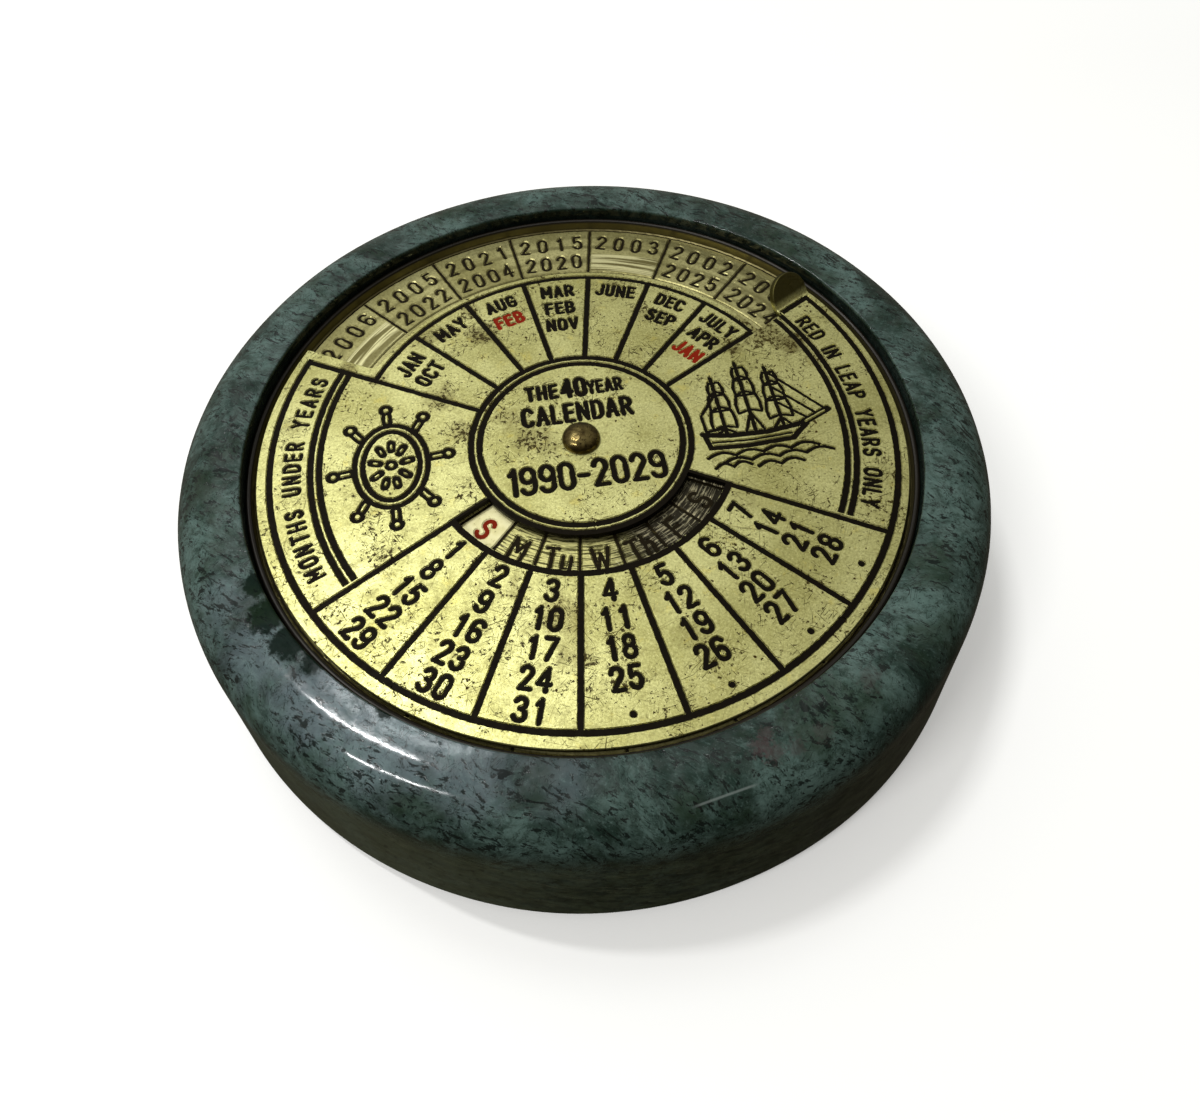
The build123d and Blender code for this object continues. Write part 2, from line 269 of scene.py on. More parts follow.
class Plate:
    """Flat plate cut by holes and engraved from above, as one closed mesh.

    walls gives, for the border and for each hole, the side's profile and material. The
    profile is pairs of outward offset and height, from the upper edge down."""

    edge = 0.06
    depth = 0.1
    bevel = 0.07
    spacing = 0.24
    roughness = 0.05
    rough_scale = 0.33
    pit_depth = 0.03

    def __init__(self, name, top, under, border, holes, walls):
        self.name = name
        self.top = top
        self.under = under
        self.border = border
        self.holes = holes
        self.walls = walls
        self.extra_points = []
        self.patches = []
        self.points = []
        self.faces = []
        self.kinds = []

    def add_face(self, points, kind):
        start = len(self.points)
        self.points += points
        self.faces.append(list(range(start, len(self.points))))
        self.kinds.append(kind)

    def add_stroke(self, points, width, ink, cap):
        fine = resample(points, self.spacing)
        kinds = ("bank", "core") if ink == "brass" else ("slope", ink)
        for offset, kind in zip((self.bevel / 2, -self.bevel / 2), kinds):
            ring = outline(fine, width / 2 + offset, cap)
            self.add_face([rough(p, self.roughness, self.rough_scale) for p in ring], kind)

    def build(self, engraving, pits=()):
        self.add_face(self.border, "plate")
        self.add_face(inset(self.border, self.edge), "flat")
        for hole in self.holes:
            self.add_face(hole, "hole")
            self.add_face(inset(hole, -self.edge), "lip")
        for patch, kind in self.patches:
            self.add_face(patch, kind)
        for stroke in engraving.strokes:
            self.add_stroke(*stroke)
        for pit in pits:
            self.add_face(pit, "pit")
        verts, _, faces, shapes = triangulate(self.points, self.faces, self.extra_points)
        kept = []
        for face, inside in zip(faces, shapes):
            kinds = {self.kinds[i] for i in inside}
            if "plate" in kinds and "hole" not in kinds:
                kept.append((face, *self.finish_of(kinds)))
        return self.close(verts, kept)

    def finish_of(self, kinds):
        """Material and level of a face that lies in shapes of these kinds."""
        base = CREAM if "cream" in kinds else BRASS
        if "core" in kinds:
            return base, "top"
        inks = kinds & INKS
        if inks and "bank" in kinds:
            return base, "slope"
        if inks:
            return (RED if inks == {"red"} else BLACK), "floor"
        if "slope" in kinds:
            return base, "slope"
        if "pit" in kinds:
            return PIT, "pit"
        return base, "edge" if "lip" in kinds or "flat" not in kinds else "top"

    def levels(self, kept):
        """Height of each vertex of the engraved face."""
        around = {}
        for face, _, level in kept:
            for v in face:
                around.setdefault(v, set()).add(level)
        border = {v for a, b in open_edges([face for face, _, _ in kept]) for v in (a, b)}
        heights = {}
        for v, levels in around.items():
            if v in border:
                sunk = self.depth if levels <= {"floor", "slope"} else self.edge
                heights[v] = self.top - sunk
            elif levels & {"top", "edge"}:
                heights[v] = self.top
            elif levels == {"pit"}:
                heights[v] = self.top - self.pit_depth
            elif levels & {"floor", "slope"} and "pit" not in levels:
                heights[v] = self.top - self.depth
            else:
                heights[v] = self.top
        return heights

    def close(self, verts, kept):
        """Close the engraved face with side walls and a flat underside."""
        heights = self.levels(kept)
        used = sorted(heights)
        index = {v: i for i, v in enumerate(used)}
        points = [Vector((verts[v].x, verts[v].y, heights[v])) for v in used]
        faces = [tuple(index[v] for v in face) for face, _, _ in kept]
        materials = [material for _, material, _ in kept]
        bottoms = []
        for ring in edge_loops(open_edges(faces)):
            profile, material = self.wall_of([points[v] for v in ring])
            bottoms.append(add_wall(points, faces, materials, ring, profile, material))
        add_underside(points, faces, materials, bottoms, self.extra_points, self.under)
        return make_mesh(self.name, points, faces, materials)

    def wall_of(self, ring):
        """Side that this edge loop belongs to, found by its nearest outline."""
        start = ring[0].to_2d()
        outlines = [self.border] + self.holes
        nearest = min(range(len(outlines)), key=lambda i: min((p - start).length for p in outlines[i]))
        return self.walls[nearest]


def triangulate(points, rings, loose=()):
    """Triangles over closed rings of point numbers, and the rings that each triangle lies in.

    Only the rings' edges are given to the triangulation. Which rings hold a triangle follows
    from walking across the triangles and counting each ring edge that is crossed."""
    edges = []
    owners = []
    for index, ring in enumerate(rings):
        pairs = list(zip(ring, ring[1:] + ring[:1]))
        edges += pairs
        owners += [index] * len(pairs)
    verts, lines, faces, origins, sources, _ = delaunay_2d_cdt(points + list(loose), edges, [], 0, 1e-5)
    steps = {}
    for (a, b), parts in zip(lines, sources):
        along = verts[b] - verts[a]
        step = []
        for part in parts:
            start, end = edges[part]
            way = 1 if along.dot(points[end] - points[start]) > 0 else -1
            step.append((owners[part], way))
        if step:
            steps[(a, b)] = step
            steps[(b, a)] = [(owner, -way) for owner, way in step]
    faces = [list(face) for face in faces]
    beside = {}
    for index, face in enumerate(faces):
        for pair in zip(face, face[1:] + face[:1]):
            beside[pair] = index
    first = next(pair for pair in beside if (pair[1], pair[0]) not in beside)
    inside = [None] * len(faces)
    inside[beside[first]] = crossed({}, steps.get(first, ()))
    waiting = [beside[first]]
    while waiting:
        index = waiting.pop()
        face = faces[index]
        for a, b in zip(face, face[1:] + face[:1]):
            other = beside.get((b, a))
            if other is not None and inside[other] is None:
                inside[other] = crossed(inside[index], steps.get((b, a), ()))
                waiting.append(other)
    return verts, origins, faces, inside


def crossed(turns, step):
    """Ring turns round a triangle after crossing an edge into it."""
    if not step:
        return turns
    turns = dict(turns)
    for owner, way in step:
        turns[owner] = turns.get(owner, 0) + way
        if not turns[owner]:
            del turns[owner]
    return turns


def open_edges(faces):
    """Directed edges that only one face uses."""
    directed = {(a, b) for face in faces for a, b in zip(face, face[1:] + face[:1])}
    return [(a, b) for a, b in directed if (b, a) not in directed]


def edge_loops(edges):
    """Closed loops of vertices along open edges, in the faces' own direction."""
    following = dict(edges)
    loops = []
    while following:
        start = min(following)
        ring = [start]
        place = following.pop(start)
        while place != start:
            ring.append(place)
            place = following.pop(place)
        loops.append(ring)
    return loops


def inset(ring, distance):
    """Offset a closed ring to its left, which is inwards when it runs counter-clockwise."""
    result = []
    count = len(ring)
    for i, point in enumerate(ring):
        before = (point - ring[i - 1]).normalized()
        after = (ring[(i + 1) % count] - point).normalized()
        along = (before + after).normalized()
        spread = 1 / max(0.5, along.dot(after))
        result.append(point + Vector((-along.y, along.x)) * distance * spread)
    return result


def add_wall(points, faces, materials, ring, profile, material):
    """Sweep a side's profile round an edge loop, and return its lowest ring."""
    flat = [points[v].to_2d() for v in ring]
    upper = ring
    for offset, height in profile:
        start = len(points)
        points += [Vector((p.x, p.y, height)) for p in inset(flat, -offset)]
        lower = list(range(start, len(points)))
        for i in range(len(ring)):
            k = (i + 1) % len(ring)
            faces.append((upper[k], upper[i], lower[i], lower[k]))
            materials.append(material)
        upper = lower
    return upper


def signed_area(ring):
    """Area inside a closed ring, positive when it runs counter-clockwise."""
    return sum(a.x * b.y - b.x * a.y for a, b in zip(ring, ring[1:] + ring[:1])) / 2


def add_underside(points, faces, materials, rings, inner_points, under):
    """Fill the plate's underside between its lowest rings."""
    ids = [v for ring in rings for v in ring]
    flat = [points[v].to_2d() for v in ids]
    shapes = []
    areas = []
    start = 0
    for ring in rings:
        shape = list(range(start, start + len(ring)))
        area = signed_area([flat[i] for i in shape])
        shapes.append(shape if area > 0 else shape[::-1])
        areas.append(abs(area))
        start += len(ring)
    outer = areas.index(max(areas))
    verts, origins, filled, inside = triangulate(flat, shapes, inner_points)
    back = []
    for vert, origin in zip(verts, origins):
        known = [o for o in origin if o < len(ids)]
        if known:
            back.append(ids[known[0]])
        else:
            back.append(len(points))
            points.append(Vector((vert.x, vert.y, under)))
    for face, turns in zip(filled, inside):
        if set(turns) == {outer}:
            faces.append(tuple(back[v] for v in reversed(face)))
            materials.append(BRASS)


def make_mesh(name, points, faces, materials=None):
    """Mesh object from points in millimetres."""
    mesh = bpy.data.meshes.new(name)
    mesh.from_pydata([p * MM for p in points], [], faces)
    if materials:
        mesh.polygons.foreach_set("material_index", materials)
    mesh.update()
    piece = bpy.data.objects.new(name, mesh)
    bpy.context.scene.collection.objects.link(piece)
    return piece


# ---------------------------------------------------------------- what the dial says

# Lines between the columns, in degrees. They are a little uneven, as they were etched.
MONTH_EDGES = (150.8, 133.0, 115.6, 98.4, 80.1, 63.1, 45.9, 29.7)
DATE_EDGES = (210.2, 227.8, 244.9, 262.0, 279.2, 296.3, 313.4, 329.9)
MONTHS = (
    ("JAN", "OCT"), ("MAY",), ("AUG", "FEB*"), ("MAR", "FEB", "NOV"),
    ("JUNE",), ("DEC", "SEP"), ("JULY", "APR", "JAN*"),
)
WEEKDAYS = ("S", "M", "Tu", "W", "Th", "F", "S")
BAND_START, BAND_END = 150.8, 209.4
RIGHT_BAND_START = -29.6
LINE = 0.021 * R
SPOKE = 0.9 * LINE
RING = 0.0205 * R
TITLE_RING, TITLE_EDGE = 0.316 * R, 0.3425 * R
SLOT_FROM, SLOT_TO = 210.0, 330.0
SLOT_LINES = (210.3, 329.9)
SLOT_INNER, SLOT_OUTER = 0.350 * R, 0.469 * R
DATES_FROM, MONTHS_TO = 0.479 * R, 0.721 * R
BAND_RINGS = (0.8148 * R, 0.842 * R)
PAST_BAND = 0.86 * R
BAND_TEXT = 0.893 * R
RIM_LINE = 0.966 * R
RIM_SHIFT = Vector((0.005, 0.0105)) * R
BAND_SHIFT = Vector((0.005, 0.006)) * R

# The window where the years show: its inner edge, and how far each end stands off its angle.
WINDOW_RADIUS = 0.745 * R
WINDOW_RIGHT, WINDOW_RIGHT_MARGIN = 30, -0.010 * R
WINDOW_LEFT, WINDOW_LEFT_MARGIN = 150, -0.032 * R


def edge_point(angle, margin, distance):
    """Point of the line at this angle, moved sideways by margin."""
    return polar(distance, angle) + polar(margin, angle + 90)


def rim_line_at(angle):
    """Radius of the outer line, which is etched a little off the dial's centre."""
    return RIM_LINE + RIM_SHIFT.dot(polar(1, angle))


def draw_frames(art):
    """Rings and spokes that divide the dial."""
    left, right = MONTH_EDGES[0], MONTH_EDGES[7]
    art.ring(RIM_LINE, RING, BAND_START, 360 + right - BAND_START, centre=RIM_SHIFT)
    art.ring(TITLE_RING, RING, 0, 360)
    art.ring(TITLE_EDGE, RING, 0, 360)
    for start, end in ((BAND_START, BAND_END), (RIGHT_BAND_START, right)):
        for radius in BAND_RINGS:
            art.ring(radius, RING, start, end - start, centre=BAND_SHIFT)
    art.ring(MONTHS_TO, 0.018 * R, right, left - right)
    art.ring(DATES_FROM, 0.0225 * R, DATE_EDGES[0], DATE_EDGES[7] - DATE_EDGES[0])
    for angle in MONTH_EDGES:
        art.spoke(TITLE_EDGE, MONTHS_TO, angle, SPOKE)
    art.spoke(MONTHS_TO, rim_line_at(left), left, LINE)
    art.spoke(PAST_BAND, rim_line_at(right), right, LINE)
    for angle in DATE_EDGES:
        art.spoke(DATES_FROM, rim_line_at(angle), angle, SPOKE)
    for angle in SLOT_LINES:
        art.spoke(0.335 * R, 0.489 * R, angle, 1.15 * LINE)


def draw_dates(art):
    """Thirty-one dates in seven columns, read from the rim, and a dot under the short ones."""
    tall = 0.08 * R
    for column in range(7):
        angle = (DATE_EDGES[column] + DATE_EDGES[column + 1]) / 2
        first = 0.533 * R + 0.008 * R * (1 + math.cos(math.radians(angle)))
        for row in range(5):
            day = column + 1 + 7 * row
            if day <= 31:
                spot = polar(first + 0.0903 * R * row, angle)
                art.text(str(day), spot, angle + 180, tall, 0.016 * R, pitch=0.62 * tall)
            else:
                art.dot(polar(first + 0.375 * R, angle), 0.0105 * R)


def draw_months(art):
    """Months in columns read from the dial's centre, with the leap year ones in red."""
    for column, names in enumerate(MONTHS):
        angle = (MONTH_EDGES[column] + MONTH_EDGES[column + 1]) / 2
        first = 0.658 * R + 0.008 * R * math.cos(math.radians(angle))
        for row, name in enumerate(names):
            ink = "red" if name.endswith("*") else "black"
            spot = polar(first - 0.079 * R * row, angle)
            art.text(name.strip("*"), spot, angle, 0.062 * R, 0.0155 * R, gap=0.34, ink=ink)


def draw_title(art):
    """The panel round the rivet."""
    for words, spot, up, tall, width, gap, stretch in (
            ("THE", (-0.1, 0.209), 91, 0.067, 0.0165, 0.34, 0.95),
            ("40", (0.004, 0.215), 91, 0.088, 0.019, 0.28, 0.85),
            ("YEAR", (0.105, 0.208), 91, 0.062, 0.0145, 0.3, 0.82),
            ("CALENDAR", (0.003, 0.113), 90, 0.084, 0.0175, 0.32, 0.88),
            ("1990-2029", (0.002, -0.131), 90, 0.112, 0.0185, 0.25, 0.885)):
        art.text(words, Vector(spot) * R, up, tall * R, width * R, gap=gap, stretch=stretch)


def draw_bands(art):
    """Curved phrases in the side bands."""
    art.round_text("MONTHS UNDER YEARS", BAND_TEXT, 204.5, 154.5, 0.06 * R, 0.0135 * R)
    art.round_text("RED IN LEAP YEARS ONLY", BAND_TEXT, 25.5, -25.5, 0.06 * R, 0.0135 * R)


def draw_wheel(art):
    """A plain spoked hand wheel in the left panel."""
    centre = Vector((-0.589, -0.002)) * R
    wide, tall = 0.1 * R, 0.144 * R
    for k in range(8):
        way = math.radians(45 * k + 94)
        rim = centre + Vector((wide * math.cos(way), tall * math.sin(way)))
        out = (rim - centre).normalized()
        knob = rim + out * 0.078 * R
        art.line([rim, knob], 0.034 * R)
        art.dot(knob, 0.0235 * R)
        art.line([rim + out * 0.03 * R, knob - out * 0.024 * R], 0.007 * R, "brass")
        art.dot(knob, 0.0075 * R, "brass")
    rim_line = arc(*centre, wide, tall, 0, 360, 48)
    for i in range(4):
        part = rim_line[12 * i:12 * i + 13]
        art.line(part, 0.044 * R, cap="flat")
        art.line(part, 0.007 * R, "brass", cap="flat")
    for k in range(9):
        way = math.radians(40 * k + 88)
        petal = centre + Vector((0.05 * math.cos(way), 0.072 * math.sin(way))) * R
        out = (petal - centre).normalized()
        art.line([petal - out * 0.013 * R, petal + out * 0.013 * R], 0.0285 * R)
        art.line([petal - out * 0.005 * R, petal + out * 0.005 * R], 0.006 * R, "brass")
    art.dot(centre, 0.022 * R)
    art.dot(centre, 0.0075 * R, "brass")


def draw_part(art, points, width=0.0125, ink="black"):
    """One line of the boat, in dial radii."""
    art.line([Vector(p) * R for p in points], width * R, ink)


def draw_sails(art):
    """Three masts with three square sails and two stays each."""
    for mast, top in ((0.452, 0.18), (0.543, 0.232), (0.634, 0.197)):
        draw_part(art, ((mast, -0.055), (mast - 0.006, top)), 0.015)
        head = top - 0.022
        for half, drop in ((0.017, 0.047), (0.025, 0.06), (0.032, 0.072)):
            foot = head - drop
            draw_part(art, ((mast - half, head), (mast + half, head)), 0.013)
            for side in (-1, 1):
                leech = mast + side * half
                middle = (leech + side * 0.007, head - drop / 2)
                draw_part(art, ((leech, head), middle, (leech + side * 0.005, foot)))
            draw_part(art, ((mast - half - 0.004, foot), (mast, foot + 0.011), (mast + half + 0.004, foot)))
            head = foot - 0.005
        for side in (-1, 1):
            draw_part(art, ((mast, head + 0.005), (mast + side * 0.028, -0.05)))


def draw_boat(art):
    """A plain three-masted sailing boat on a few waves, in the right panel."""
    draw_sails(art)
    for start, end in (((0.629, 0.18), (0.775, 0.0)), ((0.63, 0.115), (0.745, -0.016)),
                       ((0.632, 0.05), (0.715, -0.03)), ((0.446, 0.11), (0.386, 0.03)),
                       ((0.386, 0.03), (0.39, -0.035)), ((0.39, -0.035), (0.446, -0.03))):
        draw_part(art, (start, end))
    draw_part(art, ((0.378, -0.045), (0.46, -0.06), (0.58, -0.063), (0.69, -0.048)), 0.022)
    draw_part(art, ((0.382, -0.05), (0.392, -0.1), (0.5, -0.107), (0.65, -0.1), (0.705, -0.05)), 0.019)
    draw_part(art, ((0.4, -0.08), (0.52, -0.087), (0.65, -0.08)), 0.01)
    draw_part(art, ((0.69, -0.048), (0.785, -0.004)), 0.026)
    draw_part(art, ((0.705, -0.041), (0.772, -0.01)), 0.006, "brass")
    for left, right, height, swells in ((0.375, 0.72, -0.137, 4), (0.42, 0.76, -0.162, 4),
                                        (0.39, 0.5, -0.178, 2), (0.52, 0.66, -0.19, 2)):
        crest = []
        for i in range(6 * swells + 1):
            lift = abs(math.sin(math.pi * i / 6)) * 0.015
            crest.append((left + (right - left) * i / (6 * swells), height + lift))
        draw_part(art, crest, 0.0135)


def dial_engraving():
    art = Engraving()
    for draw in (draw_frames, draw_dates, draw_months, draw_title, draw_bands, draw_wheel, draw_boat):
        draw(art)
    return art


# ---------------------------------------------------------------- what the pan says

# Outer and inner year of each sector. Row k holds sectors k, k + 7 and k + 14, clockwise from the
# window's left end. The first pairs show in the window, and the others are the years left over.
YEARS = (
    ((2006, None), (1995, 2017), (2000, 2028)),
    ((2005, 2022), (1994, 2011), (2016, 2023)),
    ((2021, 2004), (1993, 2010), (1999, 2027)),
    ((2015, 2020), (1992, 2009), (1998, 2026)),
    ((2003, None), (1997, 2014), (2008, 2029)),
    ((2002, 2025), (1991, 2013), (1996, 2019)),
    ((2001, 2024), (1990, 2012), (2007, 2018)),
)

# The year ring is etched a little clockwise of the window's left end.
YEARS_START = 150 - 1.15
YEARS_FROM = 0.787 * R
WEEKDAYS_START = 210
PAN_SPOKE = 0.0125 * R

# Where the cream paint of each Sunday starts, in degrees. The first fills the slot's left end, and
# the others start late, so that the second doesn't show past the right end.
CREAM_STARTS = (209.2, 332, 452)


def pan_engraving():
    """Year ring in two rows and the ring of weekdays."""
    art = Engraving()
    art.ring(1.0065 * R, 0.009 * R, 0, 360)
    art.ring(YEARS_FROM, 0.0055 * R, 0, 360)
    tall = 0.075 * R
    for sector in range(21):
        boundary = YEARS_START - SECTOR * sector
        middle = boundary - SECTOR / 2
        art.spoke(YEARS_FROM, 1.0025 * R, boundary, PAN_SPOKE)
        outer, inner = YEARS[sector % 7][sector // 7]
        for year, radius, pitch in ((outer, 0.937 * R, 0.064 * R), (inner, 0.84 * R, 0.055 * R)):
            if year:
                spot = polar(radius, middle)
                art.text(str(year), spot, middle, tall, 0.0135 * R, pitch=pitch, stretch=0.95)
    for cell in range(21):
        start = WEEKDAYS_START + SECTOR * cell
        middle = start + SECTOR / 2
        width, ink = (0.018 * R, "red") if cell % 7 == 0 else (0.0155 * R, "black")
        art.spoke(0.33 * R, 0.49 * R, start, PAN_SPOKE)
        spot = polar(0.415 * R, middle)
        art.text(WEEKDAYS[cell % 7], spot, middle + 180, 0.084 * R, width, gap=0.25, ink=ink)
    return art


# ---------------------------------------------------------------- plates

# The tab, a tongue bent up from the window's right end: its width, base, bend and length.
TAB_FROM, TAB_TO = 0.853 * R, 0.999 * R
TAB_WIDTH = TAB_TO - TAB_FROM
TAB_BASE = 0.004 * R
TAB_BEND = 0.4
TAB_ANGLE = math.radians(51)
TAB_STRAIGHT = 2.65
TAB_NEUTRAL = TAB_BEND + DIAL_PLATE / 2
TAB_FLAT = TAB_NEUTRAL * TAB_ANGLE + TAB_STRAIGHT
ALONG_TAB = polar(1, WINDOW_RIGHT)
ACROSS_TAB = polar(1, WINDOW_RIGHT + 90)


def along_circle(radius, start, end, count):
    """Points along a circle from start to end degrees, both included."""
    return [polar(radius, start + (end - start) * i / count) for i in range(count + 1)]


def circle(radius, count=360):
    """Points of a circle, without the last, which would repeat the first."""
    return along_circle(radius, 0, 360, count)[:-1]


def angle_of(point):
    return math.degrees(math.atan2(point.y, point.x))


def tongue_point(radius, reach):
    """Point of the flat tab before bending: along its radius and away from its base."""
    return ALONG_TAB * radius + ACROSS_TAB * (TAB_BASE + reach)


def dial_border():
    """Outline of the flat dial, counter-clockwise from the window's left end to its right."""
    left_out = edge_point(WINDOW_LEFT, WINDOW_LEFT_MARGIN, math.sqrt(R**2 - WINDOW_LEFT_MARGIN**2))
    start = angle_of(left_out)
    tab_foot = tongue_point(TAB_TO, 0)
    end = 360 + angle_of(tab_foot)
    points = along_circle(R, start, end, 332)[:-1]
    corner = TAB_WIDTH / 2 - 0.04
    straight = TAB_FLAT - corner
    steps = 18
    points += [tongue_point(TAB_TO, straight * i / steps) for i in range(steps)]
    for centre, first in ((TAB_TO - corner, 0), (TAB_FROM + corner, 90)):
        for i in range(13):
            a = math.radians(first + 90 * i / 12)
            points.append(tongue_point(centre + corner * math.cos(a), straight + corner * math.sin(a)))
    points += [tongue_point(TAB_FROM, straight * (1 - (i + 1) / steps)) for i in range(steps)]
    points.append(edge_point(WINDOW_RIGHT, WINDOW_RIGHT_MARGIN, TAB_FROM))
    inner_right = edge_point(WINDOW_RIGHT, WINDOW_RIGHT_MARGIN, WINDOW_RADIUS)
    corner_round = 0.9
    left_reach = WINDOW_RADIUS + corner_round
    left_side = math.degrees(corner_round / WINDOW_RADIUS)
    inner_left = edge_point(WINDOW_LEFT, WINDOW_LEFT_MARGIN, WINDOW_RADIUS)
    first, last = angle_of(inner_right), angle_of(inner_left) - left_side
    points += along_circle(WINDOW_RADIUS, first, last, 110)
    before = points[-1]
    after = edge_point(WINDOW_LEFT, WINDOW_LEFT_MARGIN, left_reach)
    for i in range(1, 8):
        t = i / 8
        points.append(before * (1 - t)**2 + inner_left * 2 * t * (1 - t) + after * t**2)
    points.append(after)
    return points


def slot_outline():
    """The weekday slot."""
    outer = along_circle(SLOT_OUTER, SLOT_FROM, SLOT_TO, 90)
    return outer + along_circle(SLOT_INNER, SLOT_TO, SLOT_FROM, 90)


def tongue_grid():
    """Points inside the tab, so that it bends in a smooth curve."""
    rows, columns = 22, 12
    reaches = [0.08 + (TAB_FLAT - 0.4) * i / rows for i in range(rows)]
    points = [tongue_point(TAB_FROM + TAB_WIDTH * k / columns, reach)
              for reach in reaches for k in range(1, columns)]
    half = TAB_WIDTH / 2
    end = TAB_FLAT - half
    centre = tongue_point(TAB_FROM + half, end)
    return [p for p in points if (p - centre).length < half - 0.12
            or (p - tongue_point(0, 0)).dot(ACROSS_TAB) < end]


def bend_tab(piece):
    """Bend the tongue up out of the plate along its base, as the real one was."""
    for vertex in piece.data.vertices:
        place = vertex.co / MM
        flat = place.to_2d()
        reach = flat.dot(ACROSS_TAB) - TAB_BASE
        radius = flat.dot(ALONG_TAB)
        if reach <= 0 or not TAB_FROM - 0.05 < radius < TAB_TO + 0.2:
            continue
        turn = min(reach / TAB_NEUTRAL, TAB_ANGLE)
        rest = max(0.0, reach - TAB_NEUTRAL * TAB_ANGLE)
        arm = TAB_BEND + DIAL_TOP - place.z
        side = arm * math.sin(turn) + rest * math.cos(turn)
        up = TAB_BEND + DIAL_TOP - arm * math.cos(turn) + rest * math.sin(turn)
        flat = ALONG_TAB * radius + ACROSS_TAB * (TAB_BASE + side)
        vertex.co = Vector((flat.x, flat.y, up)) * MM
    piece.data.update()


def scatter_pits(count, inner, outer, smallest, largest, seed):
    """Small irregular pits where the brass has corroded, denser in a few clouds."""
    dice = random.Random(seed)
    pits = []
    while len(pits) < count:
        spot = polar(math.sqrt(dice.uniform(inner**2, outer**2)), dice.uniform(0, 360))
        cloud = noise.noise(Vector((spot.x / 6, spot.y / 6, seed)))
        if dice.random() > 0.35 + 1.6 * cloud:
            continue
        size = smallest + (largest - smallest) * dice.random()**3
        turn, stretch = dice.uniform(0, 180), dice.uniform(0.4, 1)
        along, across = polar(size, turn), polar(size * stretch, turn + 90)
        ring = []
        for k in range(7):
            a = math.tau * k / 7
            bump = dice.uniform(0.7, 1.15)
            ring.append(spot + (along * math.cos(a) + across * math.sin(a)) * bump)
        pits.append(ring)
    return pits


def plate_wall(low, edge=0.06):
    """Straight side with a small chamfer at its foot."""
    return [(0, low + edge), (-edge, low)]


def make_dial():
    holes = [circle(SHANK_RADIUS + 0.05, 36), slot_outline()]
    side = plate_wall(DIAL_UNDER)
    # The slot's side takes the black enamel as painted shade, for its wall stands in shadow.
    walls = [(side, BRASS), (side, BRASS), (side, BLACK)]
    plate = Plate("calendar_dial", DIAL_TOP, DIAL_UNDER, dial_border(), holes, walls)
    plate.extra_points = tongue_grid()
    piece = plate.build(dial_engraving(), scatter_pits(420, 3, 0.99 * R, 0.05, 0.17, 3))
    bend_tab(piece)
    return piece


def make_pan():
    """Year disc and its upturned rim, as one piece, with cream paint in the Sunday cells."""
    rim_inner = PAN_RADIUS - PAN_RIM_WALL
    soft = 0.2
    rim = [(0, PAN_RIM_TOP - soft), (0.3 * soft, PAN_RIM_TOP - 0.3 * soft), (soft, PAN_RIM_TOP),
           (PAN_RIM_WALL - soft, PAN_RIM_TOP), (PAN_RIM_WALL - 0.3 * soft, PAN_RIM_TOP - 0.3 * soft),
           (PAN_RIM_WALL, PAN_RIM_TOP - soft), (PAN_RIM_WALL, PAN_UNDER + soft),
           (PAN_RIM_WALL - soft, PAN_UNDER)]
    hole = circle(SHANK_RADIUS + 0.02, 36)
    walls = [(rim, BRASS), (plate_wall(PAN_UNDER), BRASS)]
    plate = Plate("calendar_pan", PAN_FACE, PAN_UNDER, circle(rim_inner), [hole], walls)
    plate.edge = 0.02
    plate.depth = 0.09
    plate.bevel = 0.11
    plate.rough_scale = 0.5
    for week, low in enumerate(CREAM_STARTS):
        high = WEEKDAYS_START + SECTOR * (7 * week + 1)
        patch = along_circle(0.485 * R, low, high, 12) + along_circle(0.335 * R, high, low, 12)
        plate.patches.append((patch, "cream"))
    return plate.build(pan_engraving())


# ---------------------------------------------------------------- turned pieces

def revolve(name, profile, count, wobble=None):
    """Closed solid turned from a profile of radius and height that starts and ends on the axis."""
    points = []
    rings = []
    for radius, height in profile:
        if radius < 1e-6:
            rings.append([len(points)])
            points.append(Vector((0, 0, height)))
            continue
        rings.append(list(range(len(points), len(points) + count)))
        for i in range(count):
            spot = polar(radius, 360 * i / count)
            place = Vector((spot.x, spot.y, height))
            points.append(wobble(place) if wobble else place)
    faces = []
    for lower, upper in zip(rings, rings[1:]):
        for i in range(count):
            k = (i + 1) % count
            corners = [ring[j % len(ring)] for ring, j in ((lower, i), (lower, k), (upper, k), (upper, i))]
            faces.append(tuple(dict.fromkeys(corners)))
    piece = make_mesh(name, points, faces)
    piece.data.polygons.foreach_set("use_smooth", [True] * len(faces))
    return piece


def rounded(points, radii, steps=8):
    """Profile with an arc of the given radius at each inner corner."""
    result = [points[0]]
    for before, corner, after, radius in zip(points, points[1:], points[2:], radii):
        a = (Vector(before) - Vector(corner)).normalized()
        b = (Vector(after) - Vector(corner)).normalized()
        if radius < 1e-6:
            result.append(corner)
            continue
        half = a.angle(b) / 2
        centre = Vector(corner) + (a + b).normalized() * radius / math.sin(half)
        start = Vector(corner) + a * radius / math.tan(half) - centre
        end = Vector(corner) + b * radius / math.tan(half) - centre
        sweep = start.angle_signed(end)
        for i in range(steps + 1):
            turned = start.copy()
            turned.rotate(Matrix.Rotation(-sweep * i / steps, 2))
            result.append(tuple(centre + turned))
    result.append(points[-1])
    return result


def subdivide(profile, spacing):
    """Profile with extra points on its long runs."""
    return [tuple(p) for p in resample([Vector(p) for p in profile], spacing)]


